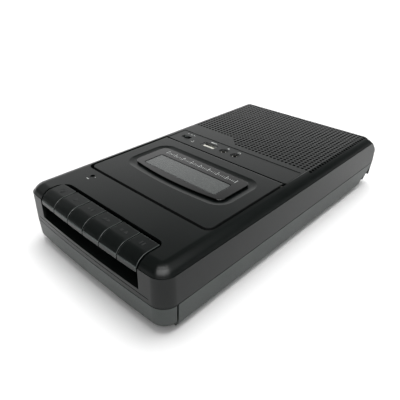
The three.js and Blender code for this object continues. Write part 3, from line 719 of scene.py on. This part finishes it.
# ---- Upper housing ----
opening = {
    "half": 52.12,
    "back": -103.8,
    "sill": 27,
    "leftRound": 9,
    "rightRound": 5,
    "tray": 2.2,
    "cheek": 2.2,
    "trayBack": -80,
}
lidGap = {"half": 62.9, "front": -79.2, "rear": 2.8, "radius": 6, "rearRadius": 0, "bow": 0.4}
well = {"bottom": 32.35, "top": 45.85, "wall": 1.8}
strip = {"half": 61.2, "front": 2.8, "rear": 24.3, "deep": 0.3}
controls = {
    "midY": 14,
    "switchX": (-53.6, -44.4),
    "switchHalf": 2.1,
    "usbX": (-29.35, -14.65),
    "usbHalf": 3.35,
    "jackX": (-6, 5.8),
    "jackRadius": 3.95,
}
micHole = {"place": (-46, -86), "radius": 1.8}
bosses = {
    "places": ((-58.5, -98), (58.5, -98), (-58.5, 112), (58.5, 112)),
    "radius": 4.2,
    "z": (20.9, 45.5),
    "bore": 1.8,
    "boreZ": (10, 33),
}
grille = {
    "pitch": 3.6,
    "radius": 1.28,
    "firstY": 42.3,
    "lastY": 122,
    "half": 66.7,
    "z": (44, 49),
    "sides": 10,
    "stepped": ((1, 14), (2, 15), (3, 16)),  # rows in front of the first and holes left out
}
wheelSlot = {
    "y": 29.3,
    "half": 6.8,
    "inner": -60,
    "z": (34.1, 37.9),
    "scoop": 14,
    "scoopX": -83.6,
    "scoopZ": (32.4, 39.6),
}
sill = {"groove": (24.1, 24.6), "deep": 0.5, "half": 60, "back": -104}
skinBottom = 40  # below the top wall and above everything under it


def keyOpeningForm():
    half = opening["half"]
    form = addBox("key_opening", around(0, half), (frontOut, opening["back"]), (opening["sill"], topOut))
    for side, radius in ((-1, opening["leftRound"]), (1, opening["rightRound"])):
        roundEdges(
            form,
            radius,
            8,
            lambda place, way: place.y > opening["back"] - 0.1 and place.x * side > 40 and abs(way.z) > 5,
        )
    return form


def keyTrayForm():
    # A floor and two cheeks behind the key opening, trimmed to the inside of the shell.
    roomHalf = opening["half"] + 1
    outerHalf = roomHalf + opening["cheek"]
    floor, back = opening["sill"], opening["trayBack"]
    tray = addBox("tray", around(0, outerHalf), (-130, back), (floor - opening["tray"], topOut))
    combine(tray, addBox("tray_room", around(0, roomHalf), (-130, back + 1), (floor, topOut)))
    combine(tray, topForm("inside_form", shell["wall"] / 2, shell["parting"] - 1), "INTERSECT")
    return tray


def cutControls(housing):
    midY = controls["midY"]
    for name, x, half in (
        ("switch_slot", controls["switchX"], controls["switchHalf"]),
        ("usb_slot", controls["usbX"], controls["usbHalf"]),
    ):
        combine(housing, addBox(name, x, around(midY, half), (skinBottom, topOut)))
    for x in controls["jackX"]:
        combine(housing, addRod("jack_hole", controls["jackRadius"], (skinBottom, topOut), (x, midY)))
    combine(housing, addRod("mic_hole", micHole["radius"], (skinBottom, topOut), micHole["place"]))


def cutWheelSlot(housing):
    y, slotX = wheelSlot["y"], (-sideOut, wheelSlot["inner"])
    combine(housing, addBox("wheel_slot", slotX, around(y, wheelSlot["half"]), wheelSlot["z"]))
    scoopPlace = (wheelSlot["scoopX"], y)
    combine(housing, addRod("wheel_scoop", wheelSlot["scoop"], wheelSlot["scoopZ"], scoopPlace, 64))


def makeUpperHousing():
    housing = copyPiece(outerForm, "upper_shell")
    combine(housing, topForm("inner_form", shell["wall"], shell["parting"] - 1))
    combine(housing, keyTrayForm(), "UNION")
    wellSheet = outlineSheet("well", well["bottom"], lidGap, well["wall"])
    combine(housing, stackUp(wellSheet, [(0, well["top"] - well["bottom"])]), "UNION")
    for place in bosses["places"]:
        combine(housing, addRod("boss", bosses["radius"], bosses["z"], place, 24), "UNION")
        combine(housing, addRod("bore", bosses["bore"], bosses["boreZ"], place, 20))
    combine(housing, keyOpeningForm())
    combine(housing, stackUp(outlineSheet("lid_opening", 30, lidGap), [(0, 20)]))
    cutControls(housing)
    # The sill below the keys is two bands with a groove between them.
    groove = addBox("sill_groove", around(0, sill["half"]), (frontOut, sill["back"]), sill["groove"])
    combine(groove, topForm("groove_floor", sill["deep"], shell["parting"] - 1))
    combine(housing, groove)
    cutWheelSlot(housing)
    softenEdges(housing, 0.3)
    # The strip and the grille keep crisp edges.
    stripY = (strip["front"] - 2, strip["rear"])
    stripZ = (shell["top"] - strip["deep"], topOut)
    combine(housing, addBox("strip_pocket", around(0, strip["half"]), stripY, stripZ))
    combine(housing, grilleForm())
    return housing


def repeat(piece, count, offset):
    applyModifier(
        piece,
        "ARRAY",
        count=count,
        use_relative_offset=False,
        use_constant_offset=True,
        constant_offset_displace=offset,
    )


def grilleForm():
    # Rows of holes. The three front rows start further right, beside the blank corner.
    pitch = grille["pitch"]
    cutters = []
    columns = int(2 * grille["half"] / pitch)
    rows = int((grille["lastY"] - grille["firstY"]) / pitch) + 1
    left = -pitch * (columns - 1) / 2
    blocks = [(left, grille["firstY"], columns, rows)]
    for back, skip in grille["stepped"]:
        blocks.append((left + skip * pitch, grille["firstY"] - back * pitch, columns - skip, 1))
    for x, y, across, deep in blocks:
        hole = addRod("holes", grille["radius"], grille["z"], (x, y), grille["sides"])
        repeat(hole, across, (pitch, 0, 0))
        if deep > 1:
            repeat(hole, deep, (0, pitch, 0))
        cutters.append(hole)
    return joinPieces(cutters, "grille_holes")


upperHousing = makeUpperHousing()
# Its bevelled edges take the lighter edge material: a painted highlight.
finishPiece(upperHousing, sparkErodedAbs, "housing", ["upper_housing"], edge=edgeHighlightAbs)
print("stage: upper housing", len(upperHousing.data.polygons))


# ---- Printed marks: flat shapes a tenth of a millimetre thick, or less ----
markRoot = 0.3  # how far a mark stands into its face
ringHole = 0.82  # of the ring's radius
markShape = {
    # sides, turn in degrees, width and depth for a unit size
    "disc": (24, 0, 1, 1),
    "dot": (12, 0, 1, 1),
    "right": (3, -90, 1, 1),
    "left": (3, 90, 1, 1),
    "up": (3, 0, 1, 1),
    "square": (4, 45, 1, 1),
    "bar": (4, 45, 0.45, 1.35),
    "dash": (4, 45, 1.5, 0.3),
    "stem": (4, 45, 0.22, 1.6),
}


def drawMark(kind, x, y, z, size, thick=0.1):
    if kind in ("ring", "arch"):
        mark = addRod("mark", size, (z - markRoot, z + thick), (x, y), 32)
        combine(mark, addRod("mark_hole", size * ringHole, around(z, 1), (x, y), 32))
        if kind == "arch":
            combine(mark, addBox("mark_half", around(x, 9), (y - 9, y - size * 0.1), around(z, 1)))
        return mark
    sides, turn, width, depth = markShape[kind]
    high = thick + markRoot
    bpy.ops.mesh.primitive_cylinder_add(vertices=sides, radius=size, depth=high, location=(0, 0, 0))
    mark = newPiece("mark", rotation=(0, 0, math.radians(turn)))
    mark.scale = (width, depth, 1)
    mark.location = (x, y, z + (thick - markRoot) / 2)
    settle(mark)
    return mark


# ---- Keys ----
keyMarks = {
    "record": [("disc", 0, 1.5), ("ring", 0, 2.4)],
    "play": [("right", 0, 2), ("dot", 2.9, 0.3)],
    "rewind": [("left", -1.5, 1.8), ("left", 1.5, 1.8)],
    "forward": [("right", -1.5, 1.8), ("right", 1.5, 1.8)],
    "stop": [("square", -2, 1.4), ("up", 2, 1.8)],
    "pause": [("bar", -1.1, 1.6), ("bar", 1.1, 1.6)],
}
keyRow = {
    "markY": -112.6,
    "names": ["record", "play", "rewind", "forward", "stop", "pause"],
    "pitch": 17.04,
    "gap": 0.9,
    "rear": -106.8,
    "bottom": 38.5,
    "skin": 2.6,
    "wall": 1.6,
    "ceiling": 3.2,
    "roomFront": -122.5,
    "armWidth": 9,
    "armY": (-109, -90),
    "armZ": (36.5, 40.5),
    "hub": (-90, 38, 4),  # y, z and radius
    "hubBore": 2.25,
    "hubInset": 0.5,
    "soften": 0.6,
}


def makeKey(index, name):
    middle = (index - (len(keyRow["names"]) - 1) / 2) * keyRow["pitch"]
    half = (keyRow["pitch"] - keyRow["gap"]) / 2
    left, right = middle - half, middle + half
    key = copyPiece(outerForm, "key_cap_" + name)
    column = addBox("column", (left, right), (frontOut, keyRow["rear"]), (keyRow["bottom"], topOut))
    combine(key, column, "INTERSECT")
    room = addBox(
        "room",
        (left + keyRow["wall"], right - keyRow["wall"]),
        (keyRow["roomFront"], keyRow["rear"] - keyRow["skin"]),
        (30, shell["top"] - keyRow["ceiling"]),
    )
    combine(key, room)
    softenEdges(key, keyRow["soften"], 3, 40)
    armHalf = keyRow["armWidth"] / 2
    arm = addBox("arm", around(middle, armHalf), keyRow["armY"], keyRow["armZ"])
    combine(key, arm, "UNION")
    hubY, hubZ, hubRadius = keyRow["hub"]
    hubX = (left + keyRow["hubInset"], right - keyRow["hubInset"])
    combine(key, addRodAcross("hub", hubRadius, hubX, hubY, hubZ, 24), "UNION")
    combine(key, addRodAcross("hub_bore", keyRow["hubBore"], around(middle, 20), hubY, hubZ, 24))
    body = f"key_{name}_body"
    # The key's bevelled edges take the lighter edge material: a painted highlight.
    finishPiece(key, sparkErodedAbs, body, [f"key_{name}"], edge=edgeHighlightAbs)
    marks = [
        drawMark(kind, middle + x, keyRow["markY"], shell["top"], size)
        for kind, x, size in keyMarks[name]
    ]
    finishPiece(joinPieces(marks, "key_mark_" + name), markInk, body)


for keyIndex, keyName in enumerate(keyRow["names"]):
    makeKey(keyIndex, keyName)
print("stage: keys")


# ---- Cassette lid and its window ----
lid = {
    "half": 60.8,
    "front": -76.9,
    "rear": 2.3,
    "radius": 4.5,
    "rearRadius": 0,
    "bow": 0.4,
    "top": 47.3,
    "thick": 2.4,
    "skirt": 4,
    "skirtWall": 1.8,
    "roll": 2.3,
    "pinBore": 1.25,
    "pinZ": 45,
    "dish": (6, 5.4, 1.2),  # how far out it starts, how far it slopes in and how deep
    "holeFit": 0.35,
    "ledge": (2, 46.1),  # how wide the window's ledge is and how high
}
bezel = {"half": 44.9, "front": -47.8, "rear": -14.9, "radius": 5, "bow": 4, "low": 46.5, "top": 47.8}


def makeLid():
    under = lid["top"] - lid["thick"]
    sheet = outlineSheet("lid_plate", under - lid["skirt"], lid)
    plate = stackUp(sheet, [(0, lid["thick"] + lid["skirt"])])
    hingeY = lid["rear"] - lid["roll"]
    roomHalf = lid["half"] - lid["skirtWall"]
    roomFront = lid["front"] + lid["skirtWall"]
    combine(plate, addBox("lid_room", around(0, roomHalf), (roomFront, 20), (20, under)))
    combine(plate, addBox("behind_hinge", around(0, sideOut), (hingeY, 20), (20, topOut)))
    softenEdges(plate, 0.35)
    # The walls in the gap round the lid are left smooth and dark: painted shade in the gap.
    for face in plate.data.polygons:
        if face.normal.z < 0.9:
            face.material_index = 1
    rollZ = lid["top"] - lid["roll"]
    roll = addRodAcross("roll", lid["roll"], around(0, lid["half"]), hingeY, rollZ, 40)
    combine(plate, roll, "UNION")
    combine(plate, addRodAcross("pin_bore", lid["pinBore"], around(0, 90), hingeY, lid["pinZ"], 20))
    # A shallow dish slopes down to the window, which sits in a hole with a ledge.
    out, slope, deep = lid["dish"]
    ledgeWidth, ledgeTop = lid["ledge"]
    combine(plate, stackUp(outlineSheet("dish", lid["top"] + 1, bezel, out), [(0.01, -1), (slope, -deep)]))
    combine(plate, stackUp(outlineSheet("bezel_hole", ledgeTop, bezel, lid["holeFit"]), [(0, 5)]))
    combine(plate, stackUp(outlineSheet("window_hole", 30, bezel, -ledgeWidth), [(0, 30)]))
    return plate


# The dark second material on the lid's walls and bevels is painted shade.
finishPiece(makeLid(), sparkErodedAbs, "lid", ["cassette_lid"], edge=innerPlasticAndShade)

pane = {
    "half": 36.4,
    "front": -45,
    "rear": -26.7,
    "radius": 1.2,
    "low": 45.25,
    "flange": (2, 3.6, 0.9),  # how far out, its corner radius and how thick
    "step": 2.2,
    "rise": 1.5,
}


def makeBezel():
    ring = stackUp(outlineSheet("window_frame", bezel["low"], bezel), [(0, bezel["top"] - bezel["low"])])
    hole = planSheet("pane_hole", 40, pane["half"], pane["front"], pane["rear"], pane["radius"])
    combine(ring, stackUp(hole, [(0, 20)]))
    softenEdges(ring, 0.5, 3)
    return ring


def makePane():
    # A clear plate whose middle stands up into the frame, flush with its face.
    out, radius, thick = pane["flange"]
    half, front, rear = pane["half"] + out, pane["front"] - out, pane["rear"] + out
    form = planSheet("window_pane", pane["low"], half, front, rear, radius)
    stackUp(form, [(0, thick), (pane["step"], 0), (0, pane["rise"])])
    softenEdges(form, 0.2)
    return form


tickRow = {
    "count": 41,
    "every": 5,
    "pitch": 1.78,
    "fromRear": 6.3,
    "short": 0.8,
    "tall": 1.3,
    "dot": 0.4,
    "dotBehind": 2.3,
    "thick": 0.05,
}


def makeScale():
    # A row of ticks printed along the frame, every fifth one taller, with a dot behind it.
    marks = []
    y = bezel["rear"] - tickRow["fromRear"]
    for i in range(tickRow["count"]):
        x = (i - tickRow["count"] // 2) * tickRow["pitch"]
        tall = i % tickRow["every"] == 0
        size = tickRow["tall" if tall else "short"]
        marks.append(drawMark("stem", x, y, bezel["top"], size, tickRow["thick"]))
        if tall:
            dotY = y + tickRow["dotBehind"]
            marks.append(drawMark("dot", x, dotY, bezel["top"], tickRow["dot"], tickRow["thick"]))
    return joinPieces(marks, "window_scale")


finishPiece(makeBezel(), glossAcrylic, "lid", ["window_bezel"])
finishPiece(makePane(), smokedAcrylic, "lid", ["clear_window"], smooth=5)
finishPiece(makeScale(), whiteInk, "lid")
print("stage: lid")


# ---- Lower housing and handle ----
lower = {
    "top": 20.35,
    "steps": [(0.6, -15.35), (2.7, -4)],
    "rearRound": 3,
    "rearLine": ((100, -5.5), (112, 1), (123.2, 6.9), (133.7, 8.9), (136.4, 10.9), (150, 21)),
    "split": -114.5,
    "gap": 1.4,
    "handleLow": 6,
    "footHalf": 69.8,
    "wall": {"side": 1.9, "front": 2.2, "floor": 3.2},
    "roomRear": 114.2,
    "roomRadius": 8,
}
batteryBay = {"half": 31, "y": (47.85, 102.85), "top": 19, "wall": 1.6, "low": 2.5}
feet = {
    "places": ((-56, -83.4), (56, -83.4), (-56, 94.4), (56, 94.4)),
    "radius": 6,
    "z": (0, 1.55),
    "recess": 1.65,
    "fit": 0.35,
}
posts = {"radius": 4.6, "top": 19, "low": (2.5, 3.6), "recess": (3.35, 7), "bore": (1.8, 22)}
inlet = {"x": -45, "z": 15.2, "radius": 4.5, "fit": 0.35, "bore": 2.8, "rear": 135.2, "long": 11}


def lowerForm(name):
    form = stackUp(bodySheet(name, lower["top"]), lower["steps"])
    combine(form, addBox("rear_cut", around(0, sideOut), (shell["rearWall"], 200), (-10, topOut)))
    roundEdges(
        form,
        lower["rearRound"],
        6,
        lambda place, way: place.y > 136 and abs(place.x) > 68 and abs(way.x) + abs(way.y) < abs(way.z),
    )
    # The underside rises to the rear in straight runs.
    line = lower["rearLine"]
    for (y0, z0), (y1, z1) in zip(line, line[1:]):
        wedge = addBox("wedge", around(0, sideOut), (y0, y1), (-20, 30))
        sliceOff(wedge, (0, y0, z0), (0, z0 - z1, y1 - y0))
        combine(form, wedge)
    return form


def cutBatteryBay(housing):
    half, wall = batteryBay["half"], batteryBay["wall"]
    front, rear = batteryBay["y"]
    block = addBox(
        "bay_block",
        (-half - wall, half + wall),
        (front - wall, rear + wall),
        (batteryBay["low"], batteryBay["top"] + wall),
    )
    combine(housing, block, "UNION")
    combine(housing, addBox("bay", around(0, half), (front, rear), (-5, batteryBay["top"])))


def makeLowerHousing():
    housing = lowerForm("lower_shell")
    front = lower["split"] + lower["gap"]
    combine(housing, addBox("front_cut", around(0, sideOut), (frontOut, front), (-10, topOut)))
    wall = lower["wall"]
    half = lower["footHalf"] - wall["side"]
    room = planSheet("room", 30, half, front + wall["front"], lower["roomRear"], lower["roomRadius"])
    combine(housing, stackUp(room, [(0, wall["floor"] - 30)]))
    cutBatteryBay(housing)
    footRadius = feet["radius"] + feet["fit"]
    for place in feet["places"]:
        combine(housing, addRod("foot_recess", footRadius, (-1, feet["recess"]), place, 40))
    for x, y in bosses["places"]:
        # A post starts higher at the rear, clear of the rising underside.
        low = posts["low"][y > 0]
        radius, deep = posts["recess"]
        bore, boreTop = posts["bore"]
        combine(housing, addRod("post", posts["radius"], (low, posts["top"]), (x, y), 32), "UNION")
        combine(housing, addRod("screw_recess", radius, (-1, deep), (x, y), 32))
        combine(housing, addRod("screw_bore", bore, (0, boreTop), (x, y), 24))
    inletHole = addRodAcross("inlet_hole", inlet["radius"] + inlet["fit"], (120, 150), 0, 0, 40)
    inletHole.rotation_euler = (0, 0, math.pi / 2)
    inletHole.location = (inlet["x"], 0, inlet["z"])
    settle(inletHole)
    combine(housing, inletHole)
    softenEdges(housing, 0.3)
    return housing


def isHandleFoot(place, way):
    return place.z < lower["handleLow"] + 0.1 and (abs(place.x) > 66 or place.y < -121.5)


grip = {
    "bar": 8,
    "leg": 7.2,
    "notchHalf": 30,
    "notchRise": 1.3,
    "footEdge": 1.4,
    "armX": (64.55, 67.55),
    "armY": (-116.5, -60.5),
    "armZ": (9, 18),
}


def makeHandle():
    handle = lowerForm("carry_grip")
    low = lower["handleLow"]
    keep = addBox("keep", around(0, sideOut), (frontOut, lower["split"]), (low, topOut))
    combine(handle, keep, "INTERSECT")
    inside = shell["half"] - grip["leg"]
    combine(handle, addBox("hand_room", around(0, inside), (shell["front"] + grip["bar"], 0), (0, topOut)))
    notch = grip["notchHalf"]
    combine(handle, addBox("notch", around(0, notch), (frontOut, 0), (0, low + grip["notchRise"])))
    # The rounded foot takes the second material, painted dark as the shade under the handle.
    giveTwoSlots(handle)
    roundEdges(handle, grip["footEdge"], 3, isHandleFoot, material=1)
    softenEdges(handle, 0.35)
    for side in around(0, 1):
        arm = addBox("arm", sorted(side * x for x in grip["armX"]), grip["armY"], grip["armZ"])
        combine(handle, arm, "UNION")
    return handle


# The lower shell's edges are painted lighter as a highlight, and the handle's edges dark as shade.
finishPiece(
    makeLowerHousing(), floorReflectionCoarseAbs, "housing", ["lower_housing"], edge=edgeHighlightCoarseAbs
)
finishPiece(makeHandle(), floorReflectionCoarseAbs, "handle", ["carry_handle"], edge=innerPlasticAndShade)
print("stage: lower housing and handle")


# ---- Feet, screws and battery cover ----
def makeFoot(name, x, y):
    # A rubber disc with a rim round its face.
    low, high = feet["z"]
    foot = addRod(name, feet["radius"], (low, high), (x, y), 48)
    pick(foot, "FACE", lambda place, normal: normal.z < -0.9)
    growFaces(((1.1, 0), (0.3, -0.35)))
    leaveEdit()
    softenEdges(foot, 0.2)
    return foot


screw = {
    "z": (3.65, 6.65, 31.9),  # the head's two faces and the tip
    "head": 3,
    "shank": 1.45,
    "point": (1, 1.2),
    "cross": (3.6, 0.75),
    "deep": 1.5,
}


def makeScrew(name, x, y):
    # A pan head with a cross recess, on a straight shank.
    low, neck, tip = screw["z"]
    body = addRod(name, screw["head"], (low, neck), (x, y), 40)
    inward, upward = screw["point"]
    stepTop(body, ((screw["head"] - screw["shank"], 0), (0, tip - neck - upward), (inward, upward)))
    long, wide = screw["cross"]
    for across, along in ((long, wide), (wide, long)):
        slotForm = addBox(
            "cross",
            (x - across / 2, x + across / 2),
            (y - along / 2, y + along / 2),
            (low - 1, low + screw["deep"]),
        )
        combine(body, slotForm)
    softenEdges(body, 0.25)
    return body


cover = {
    "half": 30.65,
    "y": (48.2, 102.5),
    "z": (1, 2.65),
    "panelHalf": (13, 6.6),
    "panelFromRear": 9,
    "panelDeep": 0.35,
    "ribs": 7,
    "ribHalf": 11,
    "ribPitch": 1.8,
    "ribWidth": 0.8,
    "ribRise": 0.6,
    "markFromPanel": 11,
}


def makeBatteryCover():
    plate = addBox("battery_door_plate", around(0, cover["half"]), cover["y"], cover["z"])
    low = cover["z"][0]
    middle = cover["y"][1] - cover["panelFromRear"]
    across, along = cover["panelHalf"]
    panelZ = (low - 1, low + cover["panelDeep"])
    combine(plate, addBox("grip_panel", around(0, across), around(middle, along), panelZ))
    for i in range(cover["ribs"]):
        y = middle + (i - (cover["ribs"] - 1) / 2) * cover["ribPitch"]
        ribY = (y - cover["ribWidth"] / 2, y + cover["ribWidth"] / 2)
        rib = addBox("rib", around(0, cover["ribHalf"]), ribY, (low, low + cover["ribRise"]))
        combine(plate, rib, "UNION")
    combine(plate, drawMark("up", 0, middle - cover["markFromPanel"], low + 0.3, 3, 0.1))
    softenEdges(plate, 0.2)
    return plate


cornerNames = ("front_left", "front_right", "rear_left", "rear_right")
for cornerName, footPlace, screwPlace in zip(cornerNames, feet["places"], bosses["places"]):
    foot = makeFoot("rubber_foot_" + cornerName, *footPlace)
    finishPiece(foot, rubber, "housing", ["foot_" + cornerName])
    caseScrew = makeScrew("case_screw_" + cornerName, *screwPlace)
    finishPiece(caseScrew, platedSteel, "housing", ["screw_" + cornerName])
batteryCover = makeBatteryCover()
# Its edges are painted lighter as a highlight.
finishPiece(
    batteryCover, floorReflectionCoarseAbs, "battery_door", ["battery_cover"], edge=edgeHighlightCoarseAbs
)
print("stage: underside")


# ---- Controls ----
jack = {
    "radius": 3.6,
    "bore": 1.4,
    "top": 46.9,
    "base": (3.6, 30.95),  # half its width, and its foot
    "sleeve": 2.3,
    "sleeveZ": (-5, -0.8),  # from the top
}


def makeJack(name, x, y):
    # A round socket: a dark collar with a step down to a bright contact sleeve.
    top = jack["top"]
    body = addRod(name, jack["radius"], (top - 6, top), (x, y), 48)
    stepTop(body, ((0.7, 0), (0.15, -0.5), (0.6, 0), (0, -5)))
    half, foot = jack["base"]
    base = addBox("base", around(x, half), around(y, half), (foot, top - 5.5))
    combine(body, base, "UNION")
    softenEdges(body, 0.12)
    return body


def makeSleeve(name, x, y):
    low, high = (jack["top"] + z for z in jack["sleeveZ"])
    sleeve = addRod(name, jack["sleeve"], (low, high), (x, y), 40)
    combine(sleeve, addRod("hole", jack["bore"], (low + 0.4, topOut), (x, y), 40))
    softenEdges(sleeve, 0.1)
    return sleeve


for jackName, x in zip(("microphone", "earphone"), controls["jackX"]):
    body = makeJack(jackName + "_socket", x, controls["midY"])
    # The collar's bevelled edges are painted lighter as a highlight.
    finishPiece(body, innerPlasticAndShade, "housing", [jackName + "_jack"], edge=edgeHighlightAbs)
    finishPiece(makeSleeve(jackName + "_sleeve", x, controls["midY"]), nickelPlate, "housing")

usb = {
    "x": (-29, -15),
    "y": (11, 17),
    "z": (30.95, 46.7),
    "skin": 0.5,
    "windowHalf": 1,
    "windowIn": 4,
    "windowDown": (7, 3),
    "tongueIn": 1.5,
    "tongueY": (11.7, 14.2),
    "tongueZ": (32.6, 46.3),
    "contactPitch": 2.4,
    "contactHalf": 0.5,
    "contactDeep": 0.25,
}


def makeUsbShell():
    # A folded steel can, open at the top, with two sprung windows in its long sides.
    (x0, x1), (y0, y1), (z0, z1) = usb["x"], usb["y"], usb["z"]
    can = addBox("usb_can", (x0, x1), (y0, y1), (z0, z1))
    skin = usb["skin"]
    combine(can, addBox("can_room", (x0 + skin, x1 - skin), (y0 + skin, y1 - skin), (z0 + 1.5, z1 + 5)))
    half, (low, high) = usb["windowHalf"], usb["windowDown"]
    for x in (x0 + usb["windowIn"], x1 - usb["windowIn"]):
        combine(can, addBox("spring_window", around(x, half), (y0 - 1, y1 + 1), (z1 - low, z1 - high)))
    softenEdges(can, 0.12)
    return can


def makeUsbTongue():
    # A nylon tongue with four grooves for the contacts.
    x0, x1 = usb["x"]
    y0, y1 = usb["tongueY"]
    inset = usb["tongueIn"]
    tongue = addBox("usb_insulator", (x0 + inset, x1 - inset), (y0, y1), usb["tongueZ"])
    half, deep = usb["contactHalf"], usb["contactDeep"]
    for i in range(4):
        x = (x0 + x1) / 2 + (i - 1.5) * usb["contactPitch"]
        combine(tongue, addBox("contact_groove", around(x, half), (y1 - deep, y1 + 1), (34, 46.5)))
    softenEdges(tongue, 0.15)
    return tongue


slider = {
    "x": (-50.75, -47.25),
    "y": (12.25, 15.75),
    "z": (44.45, 47.9),
    "gaps": 3,
    "gapPitch": 1.1,
    "gapHalf": 0.22,
    "gapBottom": 47.4,
}


def makeSwitchKnob():
    # A ridged slider, one fingertip wide.
    knob = addBox("slider_knob", slider["x"], slider["y"], slider["z"])
    middle, half = sum(slider["x"]) / 2, slider["gapHalf"]
    for i in range(slider["gaps"]):
        x = middle + (i - 1) * slider["gapPitch"]
        combine(knob, addBox("ridge_gap", around(x, half), (10, 20), (slider["gapBottom"], 50)))
    softenEdges(knob, 0.18)
    return knob


wheel = {"radius": 9.7, "x": -61.4, "z": (34.5, 37.5), "teeth": 96, "tooth": (0.12, 0.28)}


def makeVolumeWheel():
    # A thumbwheel with a knurled rim and a dished face.
    rim = addRod("thumb_wheel", wheel["radius"], wheel["z"], (wheel["x"], wheelSlot["y"]), wheel["teeth"])
    pick(rim, "FACE", lambda place, normal: abs(normal.z) < 0.1)
    inward, outward = wheel["tooth"]
    bpy.ops.mesh.inset(thickness=inward, depth=outward, use_individual=True)
    leaveEdit()
    stepTop(rim, ((2, 0), (0.5, -0.6)))
    return rim


finishPiece(makeUsbShell(), platedSteel, "housing", ["usb_socket_shell"])
finishPiece(makeUsbTongue(), nylon, "housing", ["usb_tongue"])
switchKnob = makeSwitchKnob()
# The knob's bevelled edges are painted lighter as a highlight.
finishPiece(
    switchKnob, innerPlasticAndShade, "source_switch", ["source_switch_knob"], edge=edgeHighlightAbs
)
finishPiece(makeVolumeWheel(), innerPlasticAndShade, "volume", ["volume_wheel"], smooth=25)


def makeInlet():
    # The coaxial inlet: a flanged barrel with a deep bore, round a steel pin.
    barrel = addRod("dc_inlet", inlet["radius"], (0, inlet["long"]), (0, 0), 48)
    stepTop(barrel, ((0.5, 0.3), (inlet["radius"] - inlet["bore"] - 0.5, 0), (0, -9)))
    softenEdges(barrel, 0.1)
    return barrel


def makeInletPin():
    pin = addRod("dc_pin", 0.8, (1.5, 9.5), (0, 0), 24)
    softenEdges(pin, 0.3)
    return pin


def faceRear(piece):
    # Lays an upright form down, pointing out of the rear wall.
    piece.rotation_euler = (-math.pi / 2, 0, 0)
    piece.location = (inlet["x"], inlet["rear"] - inlet["long"], inlet["z"])
    settle(piece)
    return piece


barrel = faceRear(makeInlet())
# The barrel's bevelled edges are painted lighter as a highlight.
finishPiece(barrel, innerPlasticAndShade, "housing", ["power_inlet"], edge=edgeHighlightAbs)
finishPiece(faceRear(makeInletPin()), nickelPlate, "housing")

# Small pictures beside the controls: kind, x, y and size.
stripTop = shell["top"] - strip["deep"]
symbols = [
    ("dash", -52.6, 20.4, 0.9),
    ("dash", -49, 20.4, 0.9),
    ("dash", -45.6, 20.4, 0.9),
    ("dot", -38, 11.5, 0.5),
    ("dash", -38, 9.6, 1.1),
    ("dot", -24.6, 20.3, 0.6),
    ("dash", -22.2, 20.3, 1.7),
    ("right", -19.4, 20.3, 0.8),
    ("arch", -5.6, 19.6, 1.1),
    ("dot", -5.6, 19.9, 0.55),
    ("arch", 6.2, 19.4, 1.3),
    ("dot", 5.1, 19.3, 0.4),
    ("dot", 7.3, 19.3, 0.4),
    ("dash", -45.5, -90.6, 1.1),
    ("dot", -42.4, -86, 0.35),
]
inkThick = 0.06
printed = []
for kind, x, y, size in symbols:
    # The two by the microphone hole lie on the top face, and the rest in the strip.
    z = stripTop if y > 0 else shell["top"]
    printed.append(drawMark(kind, x, y, z, size, inkThick))
finishPiece(joinPieces(printed, "printed_symbols"), whiteInk, "housing")
print("stage: controls")


# ---- Seen through the window: the two spindles ----
spindle = {
    "x": 21.25,
    "y": -34.5,
    "z": (32.3, 39.5, 42.85),  # the foot, the splines' end and the tip
    "flange": (5.4, 1.6),
    "post": 2.6,
    "taper": 0.8,
    "teeth": 6,
    "toothLong": 4.1,
    "toothHalf": 0.45,
}


def makeSpindle(name, x):
    # A flange, a splined post that drives the reel, and a tapered tip.
    low, neck, top = spindle["z"]
    place = (x, spindle["y"])
    radius, high = spindle["flange"]
    body = addRod(name, radius, (low, low + high), place, 48)
    post = addRod("post", spindle["post"], (low + 1, top), place, 36, spindle["post"] * spindle["taper"])
    combine(body, post, "UNION")
    for i in range(spindle["teeth"]):
        angle = 2 * math.pi * i / spindle["teeth"]
        width = around(0, spindle["toothHalf"])
        tooth = addBox("tooth", (0, spindle["toothLong"]), width, (low + 1, neck))
        tooth.rotation_euler = (0, 0, angle)
        tooth.location = (*place, 0)
        settle(tooth)
        combine(body, tooth, "UNION")
    softenEdges(body, 0.3)
    return body


for reelSide, reelX in (("supply", -spindle["x"]), ("takeup", spindle["x"])):
    drive = makeSpindle(reelSide + "_drive", reelX)
    finishPiece(drive, nylon, reelSide + "_reel", [reelSide + "_spindle"])
print("stage: spindles")


# ---- The CAD pieces that keep their own shape ----
steelNodes = ("key_shaft", "key_spring", "lid_pressure_spring", "drive_motor", "speaker_basket")
steelNodes += ("battery_contacts_front", "battery_contacts_rear", "head_bridge")
nickelNodes = ("lid_hinge_pin", "capstan_shaft", "record_play_head", "erase_head", "microphone_capsule")
for keptMaterial, keptNames in (
    (innerPlasticAndShade, ("deck_plate", "source_switch_body", "volume_control", "pinch_arm")),
    (platedSteel, steelNodes),
    (nickelPlate, nickelNodes),
    (turnedBrass, ("capstan_bearing", "flywheel", "motor_pulley")),
    (rubber, ("pinch_roller", "drive_belt")),
    (conePaper, ("speaker_cone", "speaker_dust_cap")),
    (ferrite, ("speaker_magnet",)),
    (boardLaminate, ("main_circuit_board",)),
    (nylon, ("idler_wheel",)),
):
    for nodeName in keptNames:
        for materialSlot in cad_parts[nodeName].material_slots:
            materialSlot.link = "OBJECT"
            materialSlot.material = keptMaterial
print("stage: kept pieces")

bpy.data.objects.remove(outerForm)
